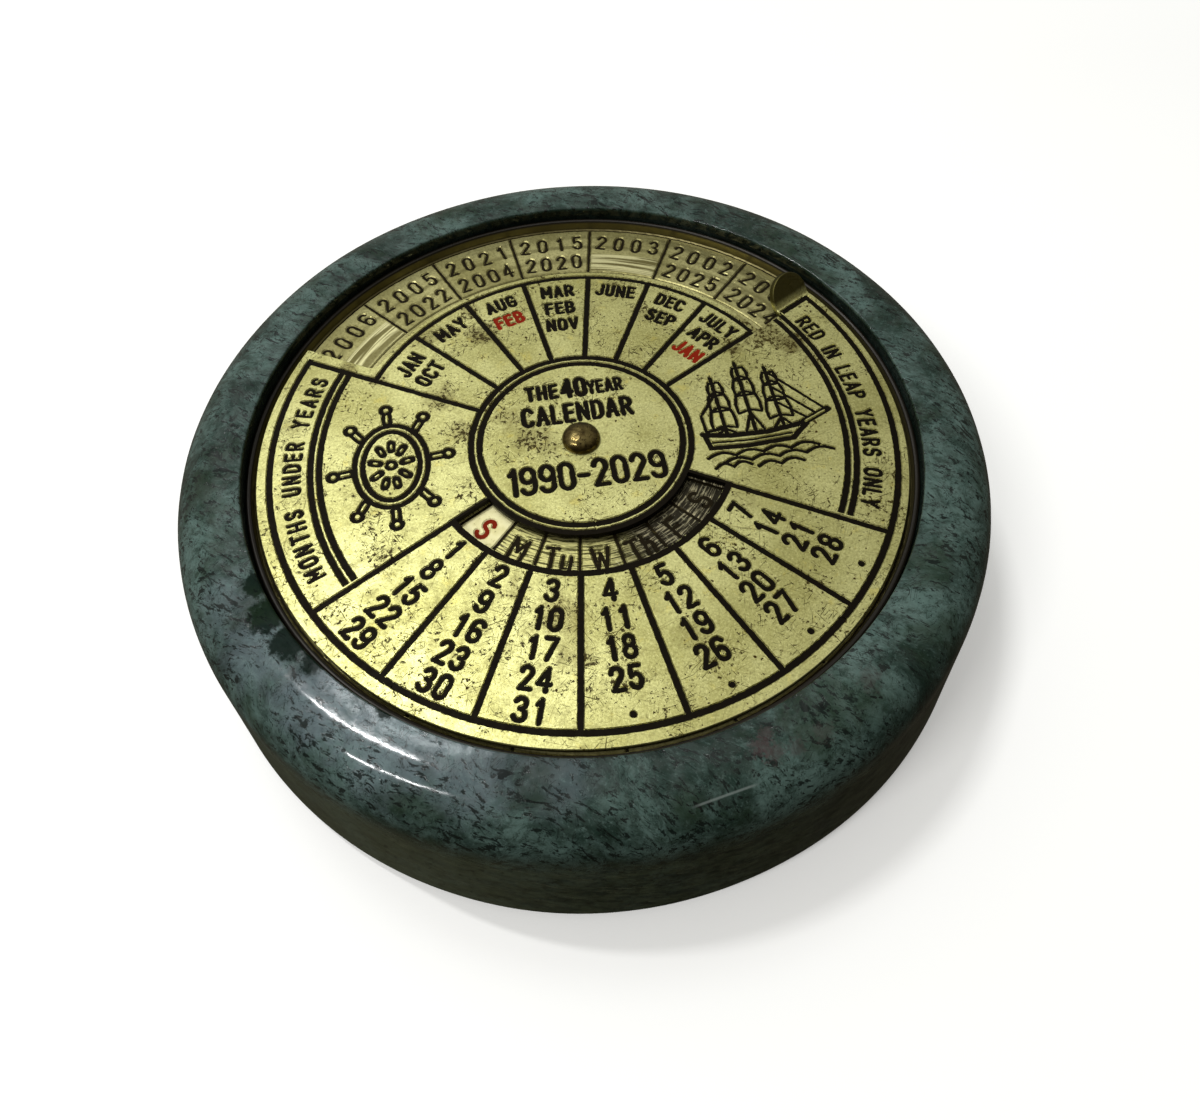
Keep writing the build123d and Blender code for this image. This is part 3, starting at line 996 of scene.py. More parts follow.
def make_stone():
    foot, top = STONE_HIGH.x, STONE_HIGH.z
    under = STONE_LOW.z
    shoulder = 1.25 * R
    recess = PAN_RADIUS + 0.06
    floor = PAN_UNDER - 0.2
    pocket, pocket_floor = 5.5, floor - 2.4
    corners = [(0, under), (foot, under), (shoulder, top), (recess, top), (recess, floor),
               (pocket, floor), (pocket, pocket_floor), (0, pocket_floor)]
    profile = rounded(corners, (0.8, 4.6, 0.15, 0.1, 0.1, 0.1), steps=10)

    def worn(place):
        """Hand polishing leaves the turned shape very slightly uneven."""
        if place.to_2d().length < recess + 0.5:
            return place
        swell = noise.noise(place / 17) * 0.08
        away = place.to_2d().normalized() * swell
        return place + Vector((away.x, away.y, 0))

    return revolve("polished_stone", subdivide(profile, 1.2), 240, worn)


def make_rivet():
    """Peened rivet whose dome is slightly flat and hammered."""
    head = 0.06 * R
    under = DIAL_TOP + 0.03
    rise = RIVET_HIGH.z - under
    tail = 1.8
    washer_under = PAN_UNDER - 0.5
    low = RIVET_LOW.z
    profile = [(0, low), (tail - 0.5, low), (tail, low + 0.3), (tail, washer_under),
               (SHANK_RADIUS, washer_under), (SHANK_RADIUS, under), (head - 0.04, under),
               (head, under + 0.05)]
    for i in range(1, 13):
        a = math.radians(90 * i / 13)
        profile.append((head * math.cos(a)**0.85, under + 0.05 + (rise - 0.05) * math.sin(a)))
    profile.append((0, RIVET_HIGH.z))

    def hammered(place):
        if place.z < under + 0.2:
            return place
        return place - place.normalized() * 0.03 * abs(noise.noise(place / 0.7))

    return revolve("rivet_head", profile, 64, hammered)


def make_felt():
    """Felt foot with a soft, slightly fuzzy edge."""
    radius, high = FELT_HIGH.x, FELT_HIGH.z
    profile = rounded([(0, 0), (radius, 0), (radius, high), (0, high)], (0.25, 0.15), steps=4)

    def fuzzy(place):
        if place.to_2d().length < radius - 0.5:
            return place
        shrink = 1 - 0.004 * (0.5 + noise.noise(place / 0.8))
        return Vector((place.x * shrink, place.y * shrink, place.z))

    return revolve("felt_foot", subdivide(profile, 4), 360, fuzzy)


# ---------------------------------------------------------------- materials

def paint(red, green, blue):
    """Linear colour from display values of 0 to 255."""
    def linear(value):
        value /= 255
        return value / 12.92 if value <= 0.04045 else ((value + 0.055) / 1.055)**2.4
    return (linear(red), linear(green), linear(blue), 1)


def add_node(tree, kind, inputs=None, **settings):
    """New shader node. Each input is a socket to link, a fixed value, or None to leave it."""
    made = tree.nodes.new("ShaderNode" + kind)
    for name, value in settings.items():
        setattr(made, name, value)
    plug(tree, made, inputs or {})
    return made


def plug(tree, node, inputs):
    for name, value in inputs.items():
        if isinstance(value, bpy.types.NodeSocket):
            tree.links.new(value, node.inputs[name])
        elif value is not None:
            node.inputs[name].default_value = value


class Looks:
    """A procedural material under construction, with the colour laid on it so far.

    Lengths in its patterns are millimetres, and colours are display values of 0 to 255."""

    def __init__(self, name):
        self.material = bpy.data.materials.new(name)
        self.material.use_nodes = True
        self.tree = self.material.node_tree
        self.tree.nodes.clear()
        self.shader = self.node("BsdfPrincipled")
        self.node("OutputMaterial", {0: self.shader.outputs[0]})
        place = self.node("TexCoord").outputs["Object"]
        self.place = self.vector("SCALE", place, scale=1 / MM)
        self.colour = None

    def node(self, kind, inputs=None, **settings):
        return add_node(self.tree, kind, inputs, **settings)

    def vector(self, operation, a, b=None, scale=None):
        node = self.node("VectorMath", {0: a, 1: b, 3: scale}, operation=operation)
        number = operation in ("LENGTH", "DISTANCE", "DOT_PRODUCT")
        return node.outputs["Value" if number else "Vector"]

    def math(self, operation, a, b=None):
        return self.node("Math", {0: a, 1: b}, operation=operation).outputs[0]

    def times(self, product, *factors):
        for factor in factors:
            product = self.math("MULTIPLY", product, factor)
        return product

    def plus(self, a, b):
        return self.math("ADD", a, b)

    def moved(self, shift, place=None):
        """Coordinates moved, so that one pattern doesn't repeat another."""
        return self.vector("ADD", place or self.place, shift)

    def turned(self, degrees, stretch, place=None):
        """Coordinates turned about Z and scaled, for streaks that run one way."""
        inputs = {"Vector": place or self.place, "Scale": stretch,
                  "Rotation": (0, 0, math.radians(degrees))}
        return self.node("Mapping", inputs, vector_type="TEXTURE").outputs[0]

    def sheet(self, x, y):
        """Coordinates of a pattern that is wrapped round the axis."""
        return self.node("CombineXYZ", {0: x, 1: y}).outputs[0]

    def polar(self):
        """Distance from the axis, bearing about it, and height."""
        x, y, height = self.node("SeparateXYZ", {0: self.place}).outputs
        flat = self.vector("MULTIPLY", self.place, (1, 1, 0))
        return self.vector("LENGTH", flat), self.math("ARCTAN2", y, x), height

    def noise(self, size, detail=3.0, rough=0.55, distortion=0.0, place=None, output="Fac"):
        """Cloudy noise whose largest features are about this many millimetres."""
        inputs = {"Vector": place or self.place, "Scale": 1 / size, "Detail": detail, "Roughness": rough,
                  "Distortion": distortion}
        return self.node("TexNoise", inputs).outputs[output]

    def band(self, value, low, high, first=0.0, last=1.0):
        """Smooth step of a value from first at low to last at high."""
        inputs = {"Value": value, "From Min": low, "From Max": high, "To Min": first, "To Max": last}
        return self.node("MapRange", inputs, interpolation_type="SMOOTHSTEP").outputs["Result"]

    def within(self, value, low, high, soft):
        """1 between two limits and 0 outside them, with soft edges inside."""
        return self.times(self.band(value, low, low + soft), self.band(value, high, high - soft))

    def mix(self, share, a, b):
        """Blend of two colours, each a pattern or display values."""
        a, b = [paint(*colour) if isinstance(colour, tuple) else colour for colour in (a, b)]
        return self.node("Mix", {0: share, 6: a, 7: b}, data_type="RGBA").outputs[2]

    def base(self, pattern, low, high, first, last):
        """Start with one colour where a pattern is low and another where it is high."""
        self.colour = self.mix(self.band(pattern, low, high), first, last)

    def lay(self, share, colour):
        """Cover a share of the colour so far."""
        self.colour = self.mix(share, self.colour, colour)

    def tint(self, pattern, low, high, most, colour):
        """Lay a colour more and more as a pattern goes from low to high, up to a share."""
        self.lay(self.band(pattern, low, high, 0.0, most), colour)

    def blotch(self, spot, height, radius, ragged, soft=0.5):
        """One irregular stain: 1 at its middle, 0 outside its ragged edge."""
        away = self.vector("DISTANCE", self.place, (*spot, height))
        edge = self.times(self.math("SUBTRACT", self.noise(radius * 0.5, 4.0, 0.65), 0.5), ragged)
        return self.band(self.plus(away, edge), radius * (1 + soft), radius * (1 - soft))

    def line(self, start, end, width):
        """One straight mark on the top between two points given in dial radii."""
        start, end = Vector(start) * R, Vector(end) * R
        along = (end - start).normalized()
        away = self.vector("SUBTRACT", self.place, (*start, 0))
        run = self.vector("DOT_PRODUCT", away, (*along, 0))
        side = self.math("ABSOLUTE", self.vector("DOT_PRODUCT", away, (-along.y, along.x, 0)))
        length = (end - start).length
        return self.times(self.within(run, 0, length, 0.2 * length), self.band(side, width, 0.2 * width))

    def finish(self, values, height=None, depth=0.0, strength=1.0):
        """The material, with its colour, the shader's other values and a bumpy surface."""
        values = {"Base Color": self.colour, **values}
        if height is not None:
            bump = {"Strength": strength, "Distance": depth * MM, "Height": height}
            values["Normal"] = self.node("Bump", bump).outputs[0]
        plug(self.tree, self.shader, values)
        return self.material


def scratches(looks, directions, length, width, level):
    """Fine straight scratches in a few directions, where their noise is above a level."""
    total = 0.0
    for k, degrees in enumerate(directions):
        place = looks.turned(degrees, (length, width, 40 + 3 * k))
        lines = looks.band(looks.noise(1.0, 1.0, 0.4, 0.15, place), level, level + 0.05)
        total = looks.math("MAXIMUM", total, lines)
    return total


# Stains of the dial: place and radius in dial radii, and how dark from 0 to 1.
DIAL_STAINS = (
    (0.74, 0.29, 0.05, 0.8), (0.66, 0.36, 0.06, 0.6), (0.55, 0.3, 0.03, 0.6), (0.62, 0.44, 0.04, 0.7),
    (0.8, 0.2, 0.03, 0.4), (-0.16, 0.05, 0.06, 0.5), (-0.22, 0.13, 0.04, 0.45), (-0.1, -0.02, 0.04, 0.35),
    (-0.72, 0.42, 0.03, 0.7), (-0.62, 0.36, 0.03, 0.5), (-0.27, 0.5, 0.05, 0.6), (-0.3, 0.62, 0.03, 0.5),
    (-0.44, 0.52, 0.04, 0.5), (0.1, 0.55, 0.04, 0.35), (0.28, 0.5, 0.04, 0.3), (0.45, -0.3, 0.04, 0.3),
    (-0.13, -0.6, 0.06, 0.6), (-0.12, -0.72, 0.05, 0.4), (-0.42, 0.24, 0.05, 0.6), (-0.36, 0.1, 0.04, 0.5),
    (-0.9, 0.2, 0.04, 0.35), (-0.25, -0.5, 0.03, 0.4), (0.2, -0.72, 0.04, 0.3),
)
DIRT = (94, 80, 36)
SPECK = (62, 52, 14)


def brass():
    """Old brass: cloudy tarnish, grain, corroded specks, scratches and brown stains, with painted shade on
    its side walls and on the bent-up tab.
    """
    looks = Looks("dial_brass_aged")
    looks.base(looks.noise(9, 5.0, 0.6), 0.36, 0.66, (206, 203, 138), (176, 172, 108))
    grain = looks.noise(0.22, 3.0, 0.75)
    looks.tint(grain, 0.44, 0.72, 0.42, DIRT)
    looks.tint(grain, 0.46, 0.3, 0.4, (238, 232, 170))
    mottle = looks.noise(1.1, 4.0, 0.7)
    looks.tint(mottle, 0.52, 0.72, 0.22, DIRT)
    looks.tint(looks.noise(1.6, 4.0, 0.7, 0.3, looks.moved((4, 9, 0))), 0.58, 0.72, 0.3, (214, 194, 84))
    where = looks.times(looks.noise(3.6, 3.0, 0.6), 0.42)
    for x, y, radius, depth in DIAL_STAINS:
        stain = looks.blotch((x * R, y * R), DIAL_TOP, radius * R, radius * R * 2.6)
        looks.lay(looks.times(stain, 0.75 * depth), DIRT)
        where = looks.plus(where, looks.times(stain, 0.16 * depth))
    marks = scratches(looks, (12, 41, 77, 118, 153), 1.6, 0.1, 0.7)
    marks = looks.times(marks, looks.band(where, 0.18, 0.24, 0.15, 0.9))
    looks.lay(marks, SPECK)
    looks.lay(looks.times(scratches(looks, (22, 64, 161), 6.0, 0.09, 0.72), 0.45), DIRT)
    thick = looks.band(looks.plus(looks.noise(0.42, 3.0, 0.75), where), 0.82, 0.88)
    looks.lay(thick, SPECK)
    height = looks.polar()[2]
    # Painted shade: the plate's side walls and underside, below the engraved floors, are darkened.
    looks.tint(height, DIAL_TOP - 0.12, DIAL_TOP - 0.3, 0.8, (40, 32, 12))
    # Painted shade: the bent-up tab, which stands above the face, is darkened olive.
    looks.tint(height, DIAL_TOP + 0.15, DIAL_TOP + 0.7, 0.92, (64, 58, 22))
    values = {
        "Metallic": looks.band(thick, 0.0, 1.0, 0.92, 0.2),
        "Roughness": looks.band(mottle, 0.3, 0.75, 0.36, 0.52),
        "Specular IOR Level": 0.15,
    }
    rough = looks.math("SUBTRACT", grain, looks.math("MAXIMUM", thick, marks))
    return looks.finish(values, rough, 0.016, 0.7)


def enamel(name, colour, worn, roughness=0.5):
    """Paint rubbed into etched lines: uneven, a little glossy, with worn grey spots."""
    looks = Looks(name)
    looks.colour = colour
    wear = looks.noise(0.7, 4.0, 0.7)
    looks.tint(wear, 0.58, 0.74, 0.8, worn)
    values = {
        "Roughness": looks.band(wear, 0.4, 0.7, roughness, 0.65),
        "Specular IOR Level": 0.08,
        "Specular Tint": (1.0, 0.86, 0.62, 1.0),
    }
    return looks.finish(values, looks.noise(0.25, 3.0, 0.6), 0.02, 0.7)


def cell_paint():
    """Cream paint of the Sunday cells, slightly yellowed and stained."""
    looks = Looks("cell_cream")
    looks.base(looks.noise(1.6, 4.0, 0.6), 0.4, 0.7, (240, 233, 180), (220, 212, 152))
    looks.tint(looks.noise(0.4, 3.0, 0.7), 0.62, 0.7, 0.6, (120, 104, 60))
    return looks.finish({"Metallic": 0.3, "Roughness": 0.5}, looks.noise(0.3), 0.01, 0.5)


def weekday_cells(looks, turn, ring):
    """Colour of the streaked weekday ring, with painted shade that darkens it from Wednesday on."""
    streaks = looks.noise(0.17, 3.0, 0.6, 0.1, ring)
    # A lit and a shaded copy of the same streaks. The shaded copy, laid by bearing, is painted shade.
    light = looks.mix(looks.band(streaks, 0.47, 0.56), (190, 184, 120), (78, 74, 38))
    dark = looks.mix(looks.band(streaks, 0.38, 0.5), (150, 142, 112), (40, 36, 24))
    share = looks.times(looks.band(turn, math.radians(-92), math.radians(-68)),
                        looks.band(turn, math.radians(20), math.radians(-25)))
    cross = looks.noise(0.35, 2.0, 0.6, 0.0, looks.turned(35, (0.25, 3.0, 1.0)))
    cells = looks.mix(share, light, dark)
    return looks.mix(looks.band(cross, 0.62, 0.7, 0.0, 0.4), cells, (205, 200, 160))


def pan_brass():
    """Rear plate: duller and more olive, with painted shade on its edge and rim, and a streaked ring of
    weekdays.
    """
    looks = Looks("pan_brass_aged")
    radius, turn, height = looks.polar()
    ring = looks.sheet(radius, looks.times(turn, 0.9))
    clouds = looks.noise(7, 5.0, 0.6)
    looks.base(clouds, 0.35, 0.68, (196, 190, 132), (150, 144, 92))
    waves = looks.noise(1.5, 2.0, 0.5, 0.2, ring)
    looks.tint(waves, 0.48, 0.62, 0.6, (96, 90, 52))
    grain = looks.noise(0.24, 2.0, 0.7)
    looks.tint(grain, 0.4, 0.72, 0.45, (96, 86, 44))
    ripples = looks.band(looks.noise(0.62, 3.0, 0.6, 0.3, ring), 0.46, 0.56)
    ripples = looks.mix(ripples, (232, 226, 172), (104, 96, 54))
    in_row = looks.within(radius, 0.79 * R, 0.885 * R, 0.01 * R)
    # An inner cell without a year is rippled.
    for sector, pairs in enumerate(YEARS):
        if pairs[0][1] is None:
            first = math.radians(YEARS_START - SECTOR * sector)
            in_cell = looks.within(turn, first - math.radians(SECTOR), first, 0.02)
            looks.lay(looks.times(in_row, in_cell, 0.75), ripples)
    looks.lay(looks.band(radius, 0.48 * R, 0.47 * R), weekday_cells(looks, turn, ring))
    # Painted shade: beyond the dial's edge the pan turns a darker olive, where it lies in the recess.
    outside = looks.band(radius, 1.0 * R, 1.01 * R)
    looks.lay(outside, looks.mix(clouds, (132, 124, 84), (96, 88, 54)))
    # Painted shade: the upturned rim is near black, as it stands in the shadow of the recess wall.
    rim = looks.times(looks.band(height, PAN_RIM_TOP - 0.35, PAN_RIM_TOP - 0.1), outside)
    looks.lay(rim, looks.mix(clouds, (30, 24, 11), (18, 13, 6)))
    values = {
        "Metallic": looks.band(rim, 0.0, 1.0, 0.85, 0.5),
        "Roughness": looks.band(clouds, 0.3, 0.7, 0.36, 0.5),
    }
    return looks.finish(values, looks.plus(grain, waves), 0.02, 0.6)


# Patches of the stone's top: bearing, distance in dial radii, radius in millimetres, and share.
# Pale bluish patches by the dial's front left are a painted reflection of the window.
PAINTED_SHEEN_PATCHES = (
    (-158, 1.15, 2.6, 0.2), (-148, 1.13, 2.8, 0.3), (-136, 1.1, 3.4, 0.4), (-124, 1.1, 3.6, 0.4),
    (-112, 1.1, 3.0, 0.3), (-101, 1.09, 2.4, 0.2),
)
DARK_PATCHES = (
    (-158, 1.04, 1.2, 0.95), (-152, 1.055, 1.6, 0.95), (-146, 1.05, 1.6, 0.95), (-141, 1.035, 1.1, 0.95),
    (-127, 1.03, 0.7, 0.95),
)
RUSTY_STAINS = (
    (-72.5, 1.085, 0.5, 0.5), (-74, 1.11, 0.7, 0.6), (-73, 1.135, 0.7, 0.5), (-70, 1.15, 0.6, 0.35),
    (-66, 1.155, 0.7, 0.25), (-56, 1.12, 0.9, 0.25),
)


def stone_patches(looks, patches, ragged, soft, colour):
    """Lay patches on the stone's top, and return where any of them is."""
    total = 0.0
    for bearing, far, size, share in patches:
        patch = looks.blotch(polar(far * R, bearing), STONE_HIGH.z, size, size * ragged, soft)
        total = looks.math("MAXIMUM", total, patch)
        looks.lay(looks.times(patch, share), colour)
    return total


def stone_mottling(looks, flow, grain):
    """Green-grey ground in three sizes of mottling."""
    looks.base(looks.noise(8, 6.0, 0.62, 0.4, flow), 0.38, 0.62, (30, 47, 40), (84, 106, 100))
    looks.tint(grain, 0.47, 0.62, 0.7, (30, 46, 38))
    looks.tint(grain, 0.47, 0.34, 0.4, (98, 122, 116))
    fine = looks.noise(0.32, 4.0, 0.75, 0.2, flow)
    looks.tint(fine, 0.52, 0.68, 0.45, (28, 42, 35))
    looks.tint(fine, 0.44, 0.32, 0.3, (108, 130, 124))


def stone_cracks(looks, flow):
    """Moss, dark flecks, dashes and broken cracks. Returns where the flecks are."""
    looks.tint(looks.noise(6, 4.0, 0.6, 0.2, looks.moved((31, 7, 2), flow)), 0.5, 0.66, 0.6, (30, 46, 28))
    where = looks.noise(4.5, 3.0, 0.6, 0.0, looks.moved((5, 17, 9), flow))
    flecks = looks.noise(0.6, 5.0, 0.72, 0.3, looks.turned(-38, (2.0, 0.75, 1.0), flow))
    flecks = looks.band(looks.plus(flecks, looks.times(where, 0.28)), 0.7, 0.73)
    looks.lay(looks.times(flecks, 0.9), (12, 20, 17))
    streaks = looks.turned(-40, (2.6, 0.62, 1.0), looks.moved((41, 3, 6), flow))
    looks.tint(looks.noise(1.15, 4.0, 0.65, 0.5, streaks), 0.635, 0.665, 0.92, (8, 15, 12))
    for seed, way, size in ((3, -52, 2.2), (8, 24, 1.7), (13, 78, 2.6)):
        place = looks.turned(way, (1.8, 0.8, 1.0), looks.moved((seed, 2 * seed, 0), flow))
        off = looks.math("SUBTRACT", looks.noise(size, 4.0, 0.65, 0.8, place), 0.52)
        near = looks.band(looks.math("ABSOLUTE", off), 0.012, 0.0)
        broken = looks.band(looks.noise(1.4, 3.0, 0.6, 0.0, looks.moved((0, seed, 4))), 0.47, 0.55)
        looks.lay(looks.times(near, broken, 0.85), (18, 28, 24))
    return flecks


def stone_side(looks, bearing, height):
    """The rubbed side wall, with painted light that makes it lighter towards the front left. Returns how
    far down the side it is.
    """
    around = looks.sheet(looks.times(bearing, STONE_HIGH.x), height)
    rubbed = looks.noise(1.6, 6.0, 0.75, 0.6, looks.turned(-14, (1.6, 0.8, 1.0), around))
    side = looks.mix(looks.band(rubbed, 0.4, 0.62), (80, 90, 66), (26, 36, 20))
    fine = looks.noise(0.35, 4.0, 0.7, 0.3, looks.turned(-18, (3.0, 0.7, 1.0), around))
    side = looks.mix(looks.band(fine, 0.45, 0.62, 0.0, 0.5), side, (20, 26, 14))
    # Painted light: the side is lightened towards the front left, facing the lamps.
    off = looks.math("ABSOLUTE", looks.plus(bearing, math.radians(124)))
    side = looks.mix(looks.band(off, math.radians(32), 0.0, 0.0, 0.55), side, (112, 116, 90))
    low = looks.band(height, STONE_HIGH.z - 2.6, STONE_HIGH.z - 6.5)
    looks.lay(looks.times(low, 0.68), side)
    hairs = looks.noise(0.5, 2.0, 0.5, 0.4, looks.turned(-22, (9.0, 0.16, 1.0), around))
    looks.lay(looks.times(looks.band(hairs, 0.66, 0.7, 0.0, 0.5), low), (168, 174, 140))
    pores = looks.band(looks.noise(0.5, 3.0, 0.7), 0.6, 0.66, 0.0, 0.7)
    looks.lay(looks.times(pores, low), (8, 10, 5))
    return low


def green_stone():
    """Polished serpentine: mottled green-grey and crackled with dark flecks, with a painted pale reflection
    near the dial, painted shade in its recess and a painted lighter side at the front left.
    """
    looks = Looks("stone_green")
    radius, bearing, height = looks.polar()
    swirl = looks.vector("SUBTRACT", looks.noise(12, 3.0, 0.5, output="Color"), (0.5, 0.5, 0.5))
    flow = looks.vector("ADD", looks.place, looks.vector("SCALE", swirl, scale=6.0))
    grain = looks.noise(0.9, 6.0, 0.8, 0.3, looks.turned(-30, (1.5, 0.9, 1.1), flow))
    stone_mottling(looks, flow, grain)
    stone_patches(looks, PAINTED_SHEEN_PATCHES, 1.8, 0.6, (128, 142, 152))
    dark = stone_patches(looks, DARK_PATCHES, 1.6, 0.25, (12, 26, 18))
    flecks = stone_cracks(looks, flow)
    stone_patches(looks, RUSTY_STAINS, 3.6, 0.5, (72, 58, 58))
    scratch = looks.line((0.10, -1.185), (0.29, -1.15), 0.12)
    looks.lay(looks.times(scratch, 0.4), (150, 160, 156))
    low = stone_side(looks, bearing, height)
    # Painted shade in the recess and on the lip round it, darkest down the recess wall.
    recess = looks.band(height, STONE_HIGH.z - 0.1, STONE_HIGH.z - 0.4, 0.2, 0.85)
    looks.lay(looks.times(looks.band(radius, 1.05 * R, 1.035 * R), recess), (10, 16, 12))
    polish = looks.band(looks.noise(1.3, 5.0, 0.7, 0.4, flow), 0.4, 0.6, 0.42, 0.16)
    values = {
        "Roughness": looks.plus(looks.band(grain, 0.35, 0.7, 0.08, 0.13), looks.times(low, 0.2)),
        "Specular IOR Level": looks.times(polish, looks.math("SUBTRACT", 1.0, looks.times(dark, 0.85))),
    }
    dents = looks.plus(looks.noise(2.6, 3.0, 0.6), looks.times(flecks, -0.3))
    return looks.finish(values, dents, 0.05, 0.3)


def rivet_bronze():
    """Rivet: darker and browner than the plates, with bright worn spots."""
    looks = Looks("rivet_bronze")
    wear = looks.noise(1.0, 4.0, 0.65)
    looks.base(wear, 0.35, 0.65, (78, 66, 38), (122, 108, 66))
    looks.tint(looks.noise(0.3, 3.0, 0.7), 0.56, 0.68, 1.0, (40, 30, 16))
    values = {"Metallic": 1.0, "Roughness": looks.band(wear, 0.3, 0.7, 0.16, 0.3)}
    return looks.finish(values, looks.noise(0.5, 3.0, 0.6), 0.05, 0.6)


def felt_green():
    """Short matted fibres."""
    looks = Looks("felt_fibres")
    fibres = looks.noise(0.25, 4.0, 0.8, 1.2)
    looks.base(fibres, 0.35, 0.7, (26, 44, 32), (58, 82, 60))
    looks.tint(looks.noise(5, 3.0, 0.6), 0.45, 0.7, 0.4, (40, 50, 40))
    return looks.finish({"Roughness": 0.95, "Sheen Weight": 0.4, "Sheen Roughness": 0.6}, fibres, 0.12, 0.8)


def dried_glue():
    looks = Looks("dried_glue")
    tone = looks.noise(3, 4.0, 0.6)
    looks.base(tone, 0.35, 0.7, (188, 172, 128), (150, 128, 82))
    return looks.finish({"Roughness": looks.band(tone, 0.3, 0.7, 0.35, 0.6)}, tone, 0.1, 0.5)


def fibre_sheet():
    looks = Looks("red_fibre")
    threads = looks.noise(0.3, 4.0, 0.7, 0.8)
    looks.base(threads, 0.35, 0.7, (112, 44, 30), (146, 70, 46))
    return looks.finish({"Roughness": 0.75}, threads, 0.03, 0.6)


def plain_floor():
    looks = Looks("pale_floor")
    looks.base(looks.noise(90, 2.0, 0.4), 0.3, 0.7, (240, 240, 238), (236, 236, 234))
    return looks.finish({"Roughness": 0.8, "Emission Color": (1, 1, 1, 1), "Emission Strength": 0.3})


# ---------------------------------------------------------------- the object

def dress(piece, *materials):
    """Give a new piece its materials, or a CAD node its better one."""
    faces = piece.data.polygons
    chosen = [0] * len(faces)
    faces.foreach_get("material_index", chosen)
    piece.data.materials.clear()
    for material in materials:
        piece.data.materials.append(material)
    faces.foreach_set("material_index", [min(i, len(materials) - 1) for i in chosen])


black = enamel("enamel_black", (9, 6, 3), (26, 18, 10))
red = enamel("enamel_red", (132, 28, 8), (90, 30, 12))
pit = enamel("corroded_pit", (62, 48, 20), (96, 80, 38), 0.7)
soft_black = enamel("engraving_dark", (26, 21, 10), (66, 58, 30), 0.6)
dark_red = enamel("engraving_red", (128, 30, 10), (96, 34, 18), 0.6)
pan_finish = pan_brass()

dial = make_dial()
dress(dial, brass(), black, red, pit)
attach(dial, "dial")
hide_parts("dial_plate")

pan = make_pan()
dress(pan, pan_finish, soft_black, dark_red, pit, cell_paint())
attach(pan, "base")
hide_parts("year_pan")

stone = make_stone()
dress(stone, green_stone())
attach(stone, "base")
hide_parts("marble_body")

rivet = make_rivet()
dress(rivet, rivet_bronze())
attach(rivet, "base")
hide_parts("pivot_rivet")

foot = make_felt()
dress(foot, felt_green())
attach(foot, "base")
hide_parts("base_felt")

glue = dried_glue()
for node, finish in (("felt_adhesive", glue), ("pan_adhesive", glue), ("friction_washer", fibre_sheet()),
                     ("back_washer", pan_finish)):
    dress(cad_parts[node], finish)


# ---------------------------------------------------------------- the studio

FACE_CENTRE = Vector((0, 0, DIAL_TOP * MM))
LAMP_DISTANCE = 0.6
FLOOR_REACH = 3000

# Brightness of the room by how far a way points up behind the object, from 0 to 1.
ROOM_SHADES = (
    (0.0, (0.03, 0.026, 0.018)), (0.3, (0.06, 0.053, 0.04)), (0.5, (0.12, 0.11, 0.09)),
    (0.8, (0.3, 0.29, 0.26)), (0.915, (0.46, 0.46, 0.43)), (0.975, (0.8, 0.81, 0.8)),
    (1.0, (1.1, 1.12, 1.12)),
)


def direction(azimuth, elevation):
    """Unit vector from the object towards a place in the room."""
    a, e = math.radians(azimuth), math.radians(elevation)
    return Vector((math.cos(e) * math.cos(a), math.cos(e) * math.sin(a), math.sin(e)))


def aim(item, place, target, roll=0.0):
    """Put a light or the camera at a place, looking at a target."""
    forward = (target - place).normalized()
    right = forward.cross(Vector((0, 0, 1))).normalized()
    up = right.cross(forward)
    a = math.radians(roll)
    side = right * math.cos(a) + up * math.sin(a)
    top = up * math.cos(a) - right * math.sin(a)
    rotation = Matrix((side, top, -forward)).transposed().to_4x4()
    item.matrix_world = Matrix.Translation(place) @ rotation


def add_lamp(name, power, **shape):
    data = bpy.data.lights.new(name, "AREA")
    data.energy = power
    for key, value in shape.items():
        setattr(data, key, value)
    lamp = bpy.data.objects.new(name, data)
    bpy.context.scene.collection.objects.link(lamp)
    return lamp


def add_window(name, azimuth, elevation, size, power, tint):
    """Round soft lamp that faces the dial."""
    lamp = add_lamp(name, power, shape="DISK", size=size, color=tint)
    aim(lamp, FACE_CENTRE + direction(azimuth, elevation) * LAMP_DISTANCE, FACE_CENTRE)


def add_tube(name, start, end, width, power):
    """Thin straight lamp between two directions, given as azimuth and elevation."""
    first, last = direction(*start) * LAMP_DISTANCE, direction(*end) * LAMP_DISTANCE
    lamp = add_lamp(name, power, shape="RECTANGLE", size=(last - first).length, size_y=width)
    away = (first + last).normalized()
    along = (last - first).normalized()
    along = (along - away * along.dot(away)).normalized()
    rotation = Matrix((along, away.cross(along), away)).transposed().to_4x4()
    lamp.matrix_world = Matrix.Translation(FACE_CENTRE + away * LAMP_DISTANCE) @ rotation


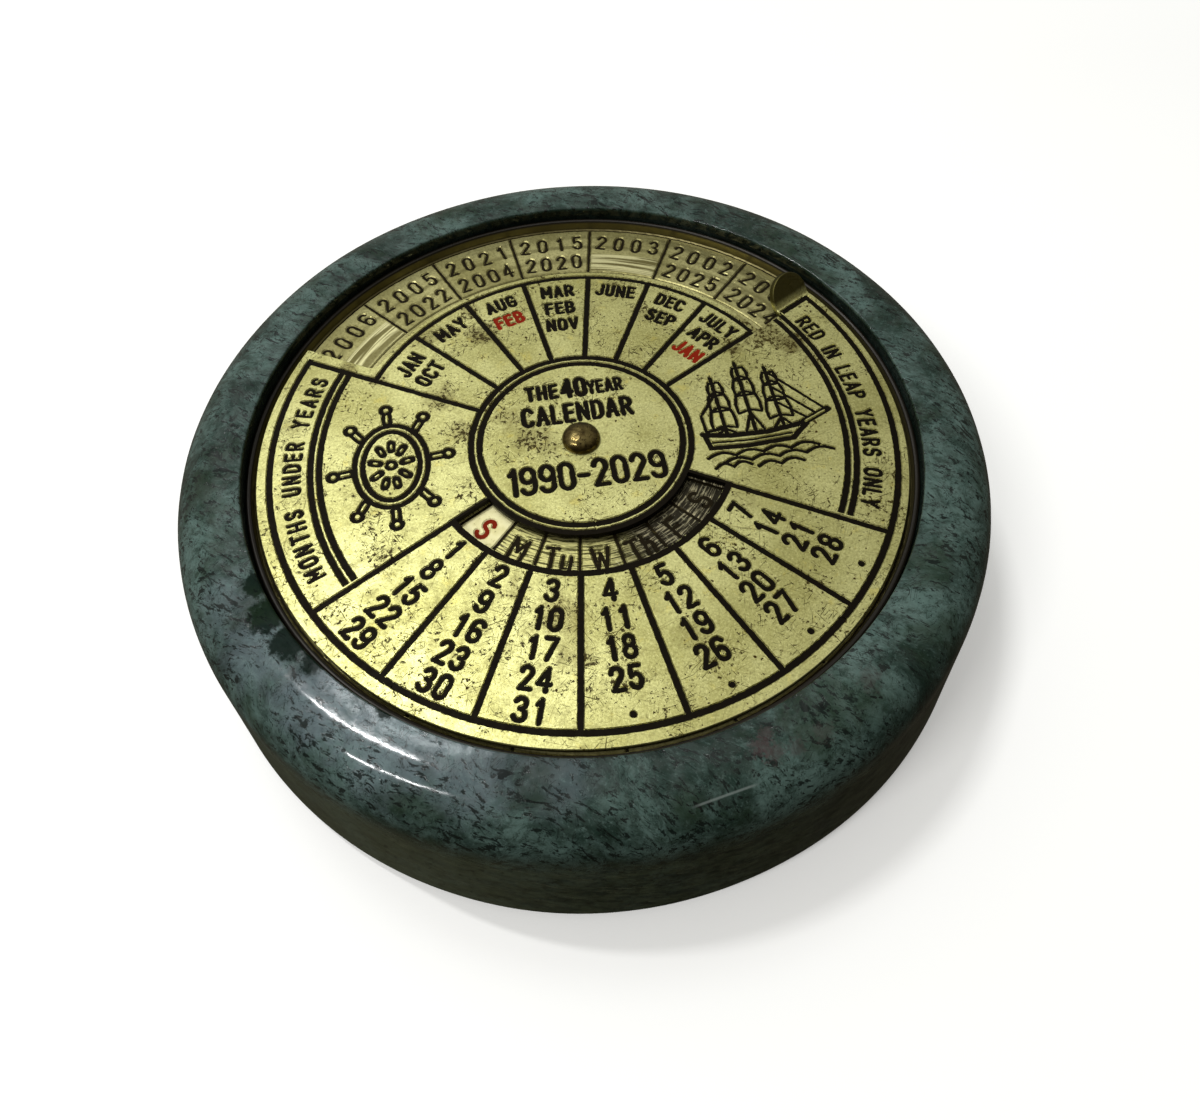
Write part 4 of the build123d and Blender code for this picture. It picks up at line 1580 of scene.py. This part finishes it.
def add_camera():
    """The view of the reference: aim and distance in dial radii, from the dial's face."""
    data = bpy.data.cameras.new("camera")
    data.lens = 27.345
    data.sensor_width = 36
    data.clip_start = 0.001
    data.clip_end = 10
    camera = bpy.data.objects.new("camera", data)
    bpy.context.scene.collection.objects.link(camera)
    radius = R * MM
    target = Vector((-0.00716 * radius, -0.44167 * radius, DIAL_TOP * MM))
    aim(camera, target + direction(-96.4475, 59.104) * 2.60595 * radius, target, -2.458)
    bpy.context.scene.camera = camera


def add_floor():
    corners = ((-1, -1), (1, -1), (1, 1), (-1, 1))
    points = [Vector((x * FLOOR_REACH, y * FLOOR_REACH, 0)) for x, y in corners]
    floor = make_mesh("floor", points, [(0, 1, 2, 3)])
    dress(floor, plain_floor())
    floor.visible_glossy = False
    floor.visible_diffuse = False


def add_room():
    """Soft surroundings, brightest high up behind the object and dark in front of it."""
    world = bpy.data.worlds.new("room")
    bpy.context.scene.world = world
    world.use_nodes = True
    tree = world.node_tree
    tree.nodes.clear()
    way = add_node(tree, "TexCoord").outputs["Generated"]
    toward = add_node(tree, "VectorMath", {0: way, 1: direction(120, 62)}, operation="DOT_PRODUCT")
    share = add_node(tree, "Math", {0: toward.outputs["Value"], 1: 0.5, 2: 0.5}, operation="MULTIPLY_ADD")
    ramp = add_node(tree, "ValToRGB", {0: share.outputs[0]})
    for i, (place, shade) in enumerate(ROOM_SHADES):
        stop = ramp.color_ramp.elements[i] if i < 2 else ramp.color_ramp.elements.new(place)
        stop.position = place
        stop.color = (*shade, 1)
    sky = add_node(tree, "Background", {0: ramp.outputs[0], 1: 1.0})
    backdrop = add_node(tree, "Background", {0: (0.85, 0.85, 0.84, 1)})
    seen = add_node(tree, "LightPath").outputs["Is Camera Ray"]
    choose = add_node(tree, "MixShader", {0: seen, 1: sky.outputs[0], 2: backdrop.outputs[0]})
    add_node(tree, "OutputWorld", {0: choose.outputs[0]})


add_camera()
add_floor()
add_room()
add_window("window", 114, 64, 0.12, 0.29, (0.92, 0.98, 1.0))
add_tube("upper_tube", (141.9, 61.9), (136.6, 70.4), 0.018, 0.95)
add_tube("side_tube", (-160.6, 45.5), (-141.4, 56.1), 0.016, 1.0)
bpy.context.scene.view_settings.view_transform = "Standard"
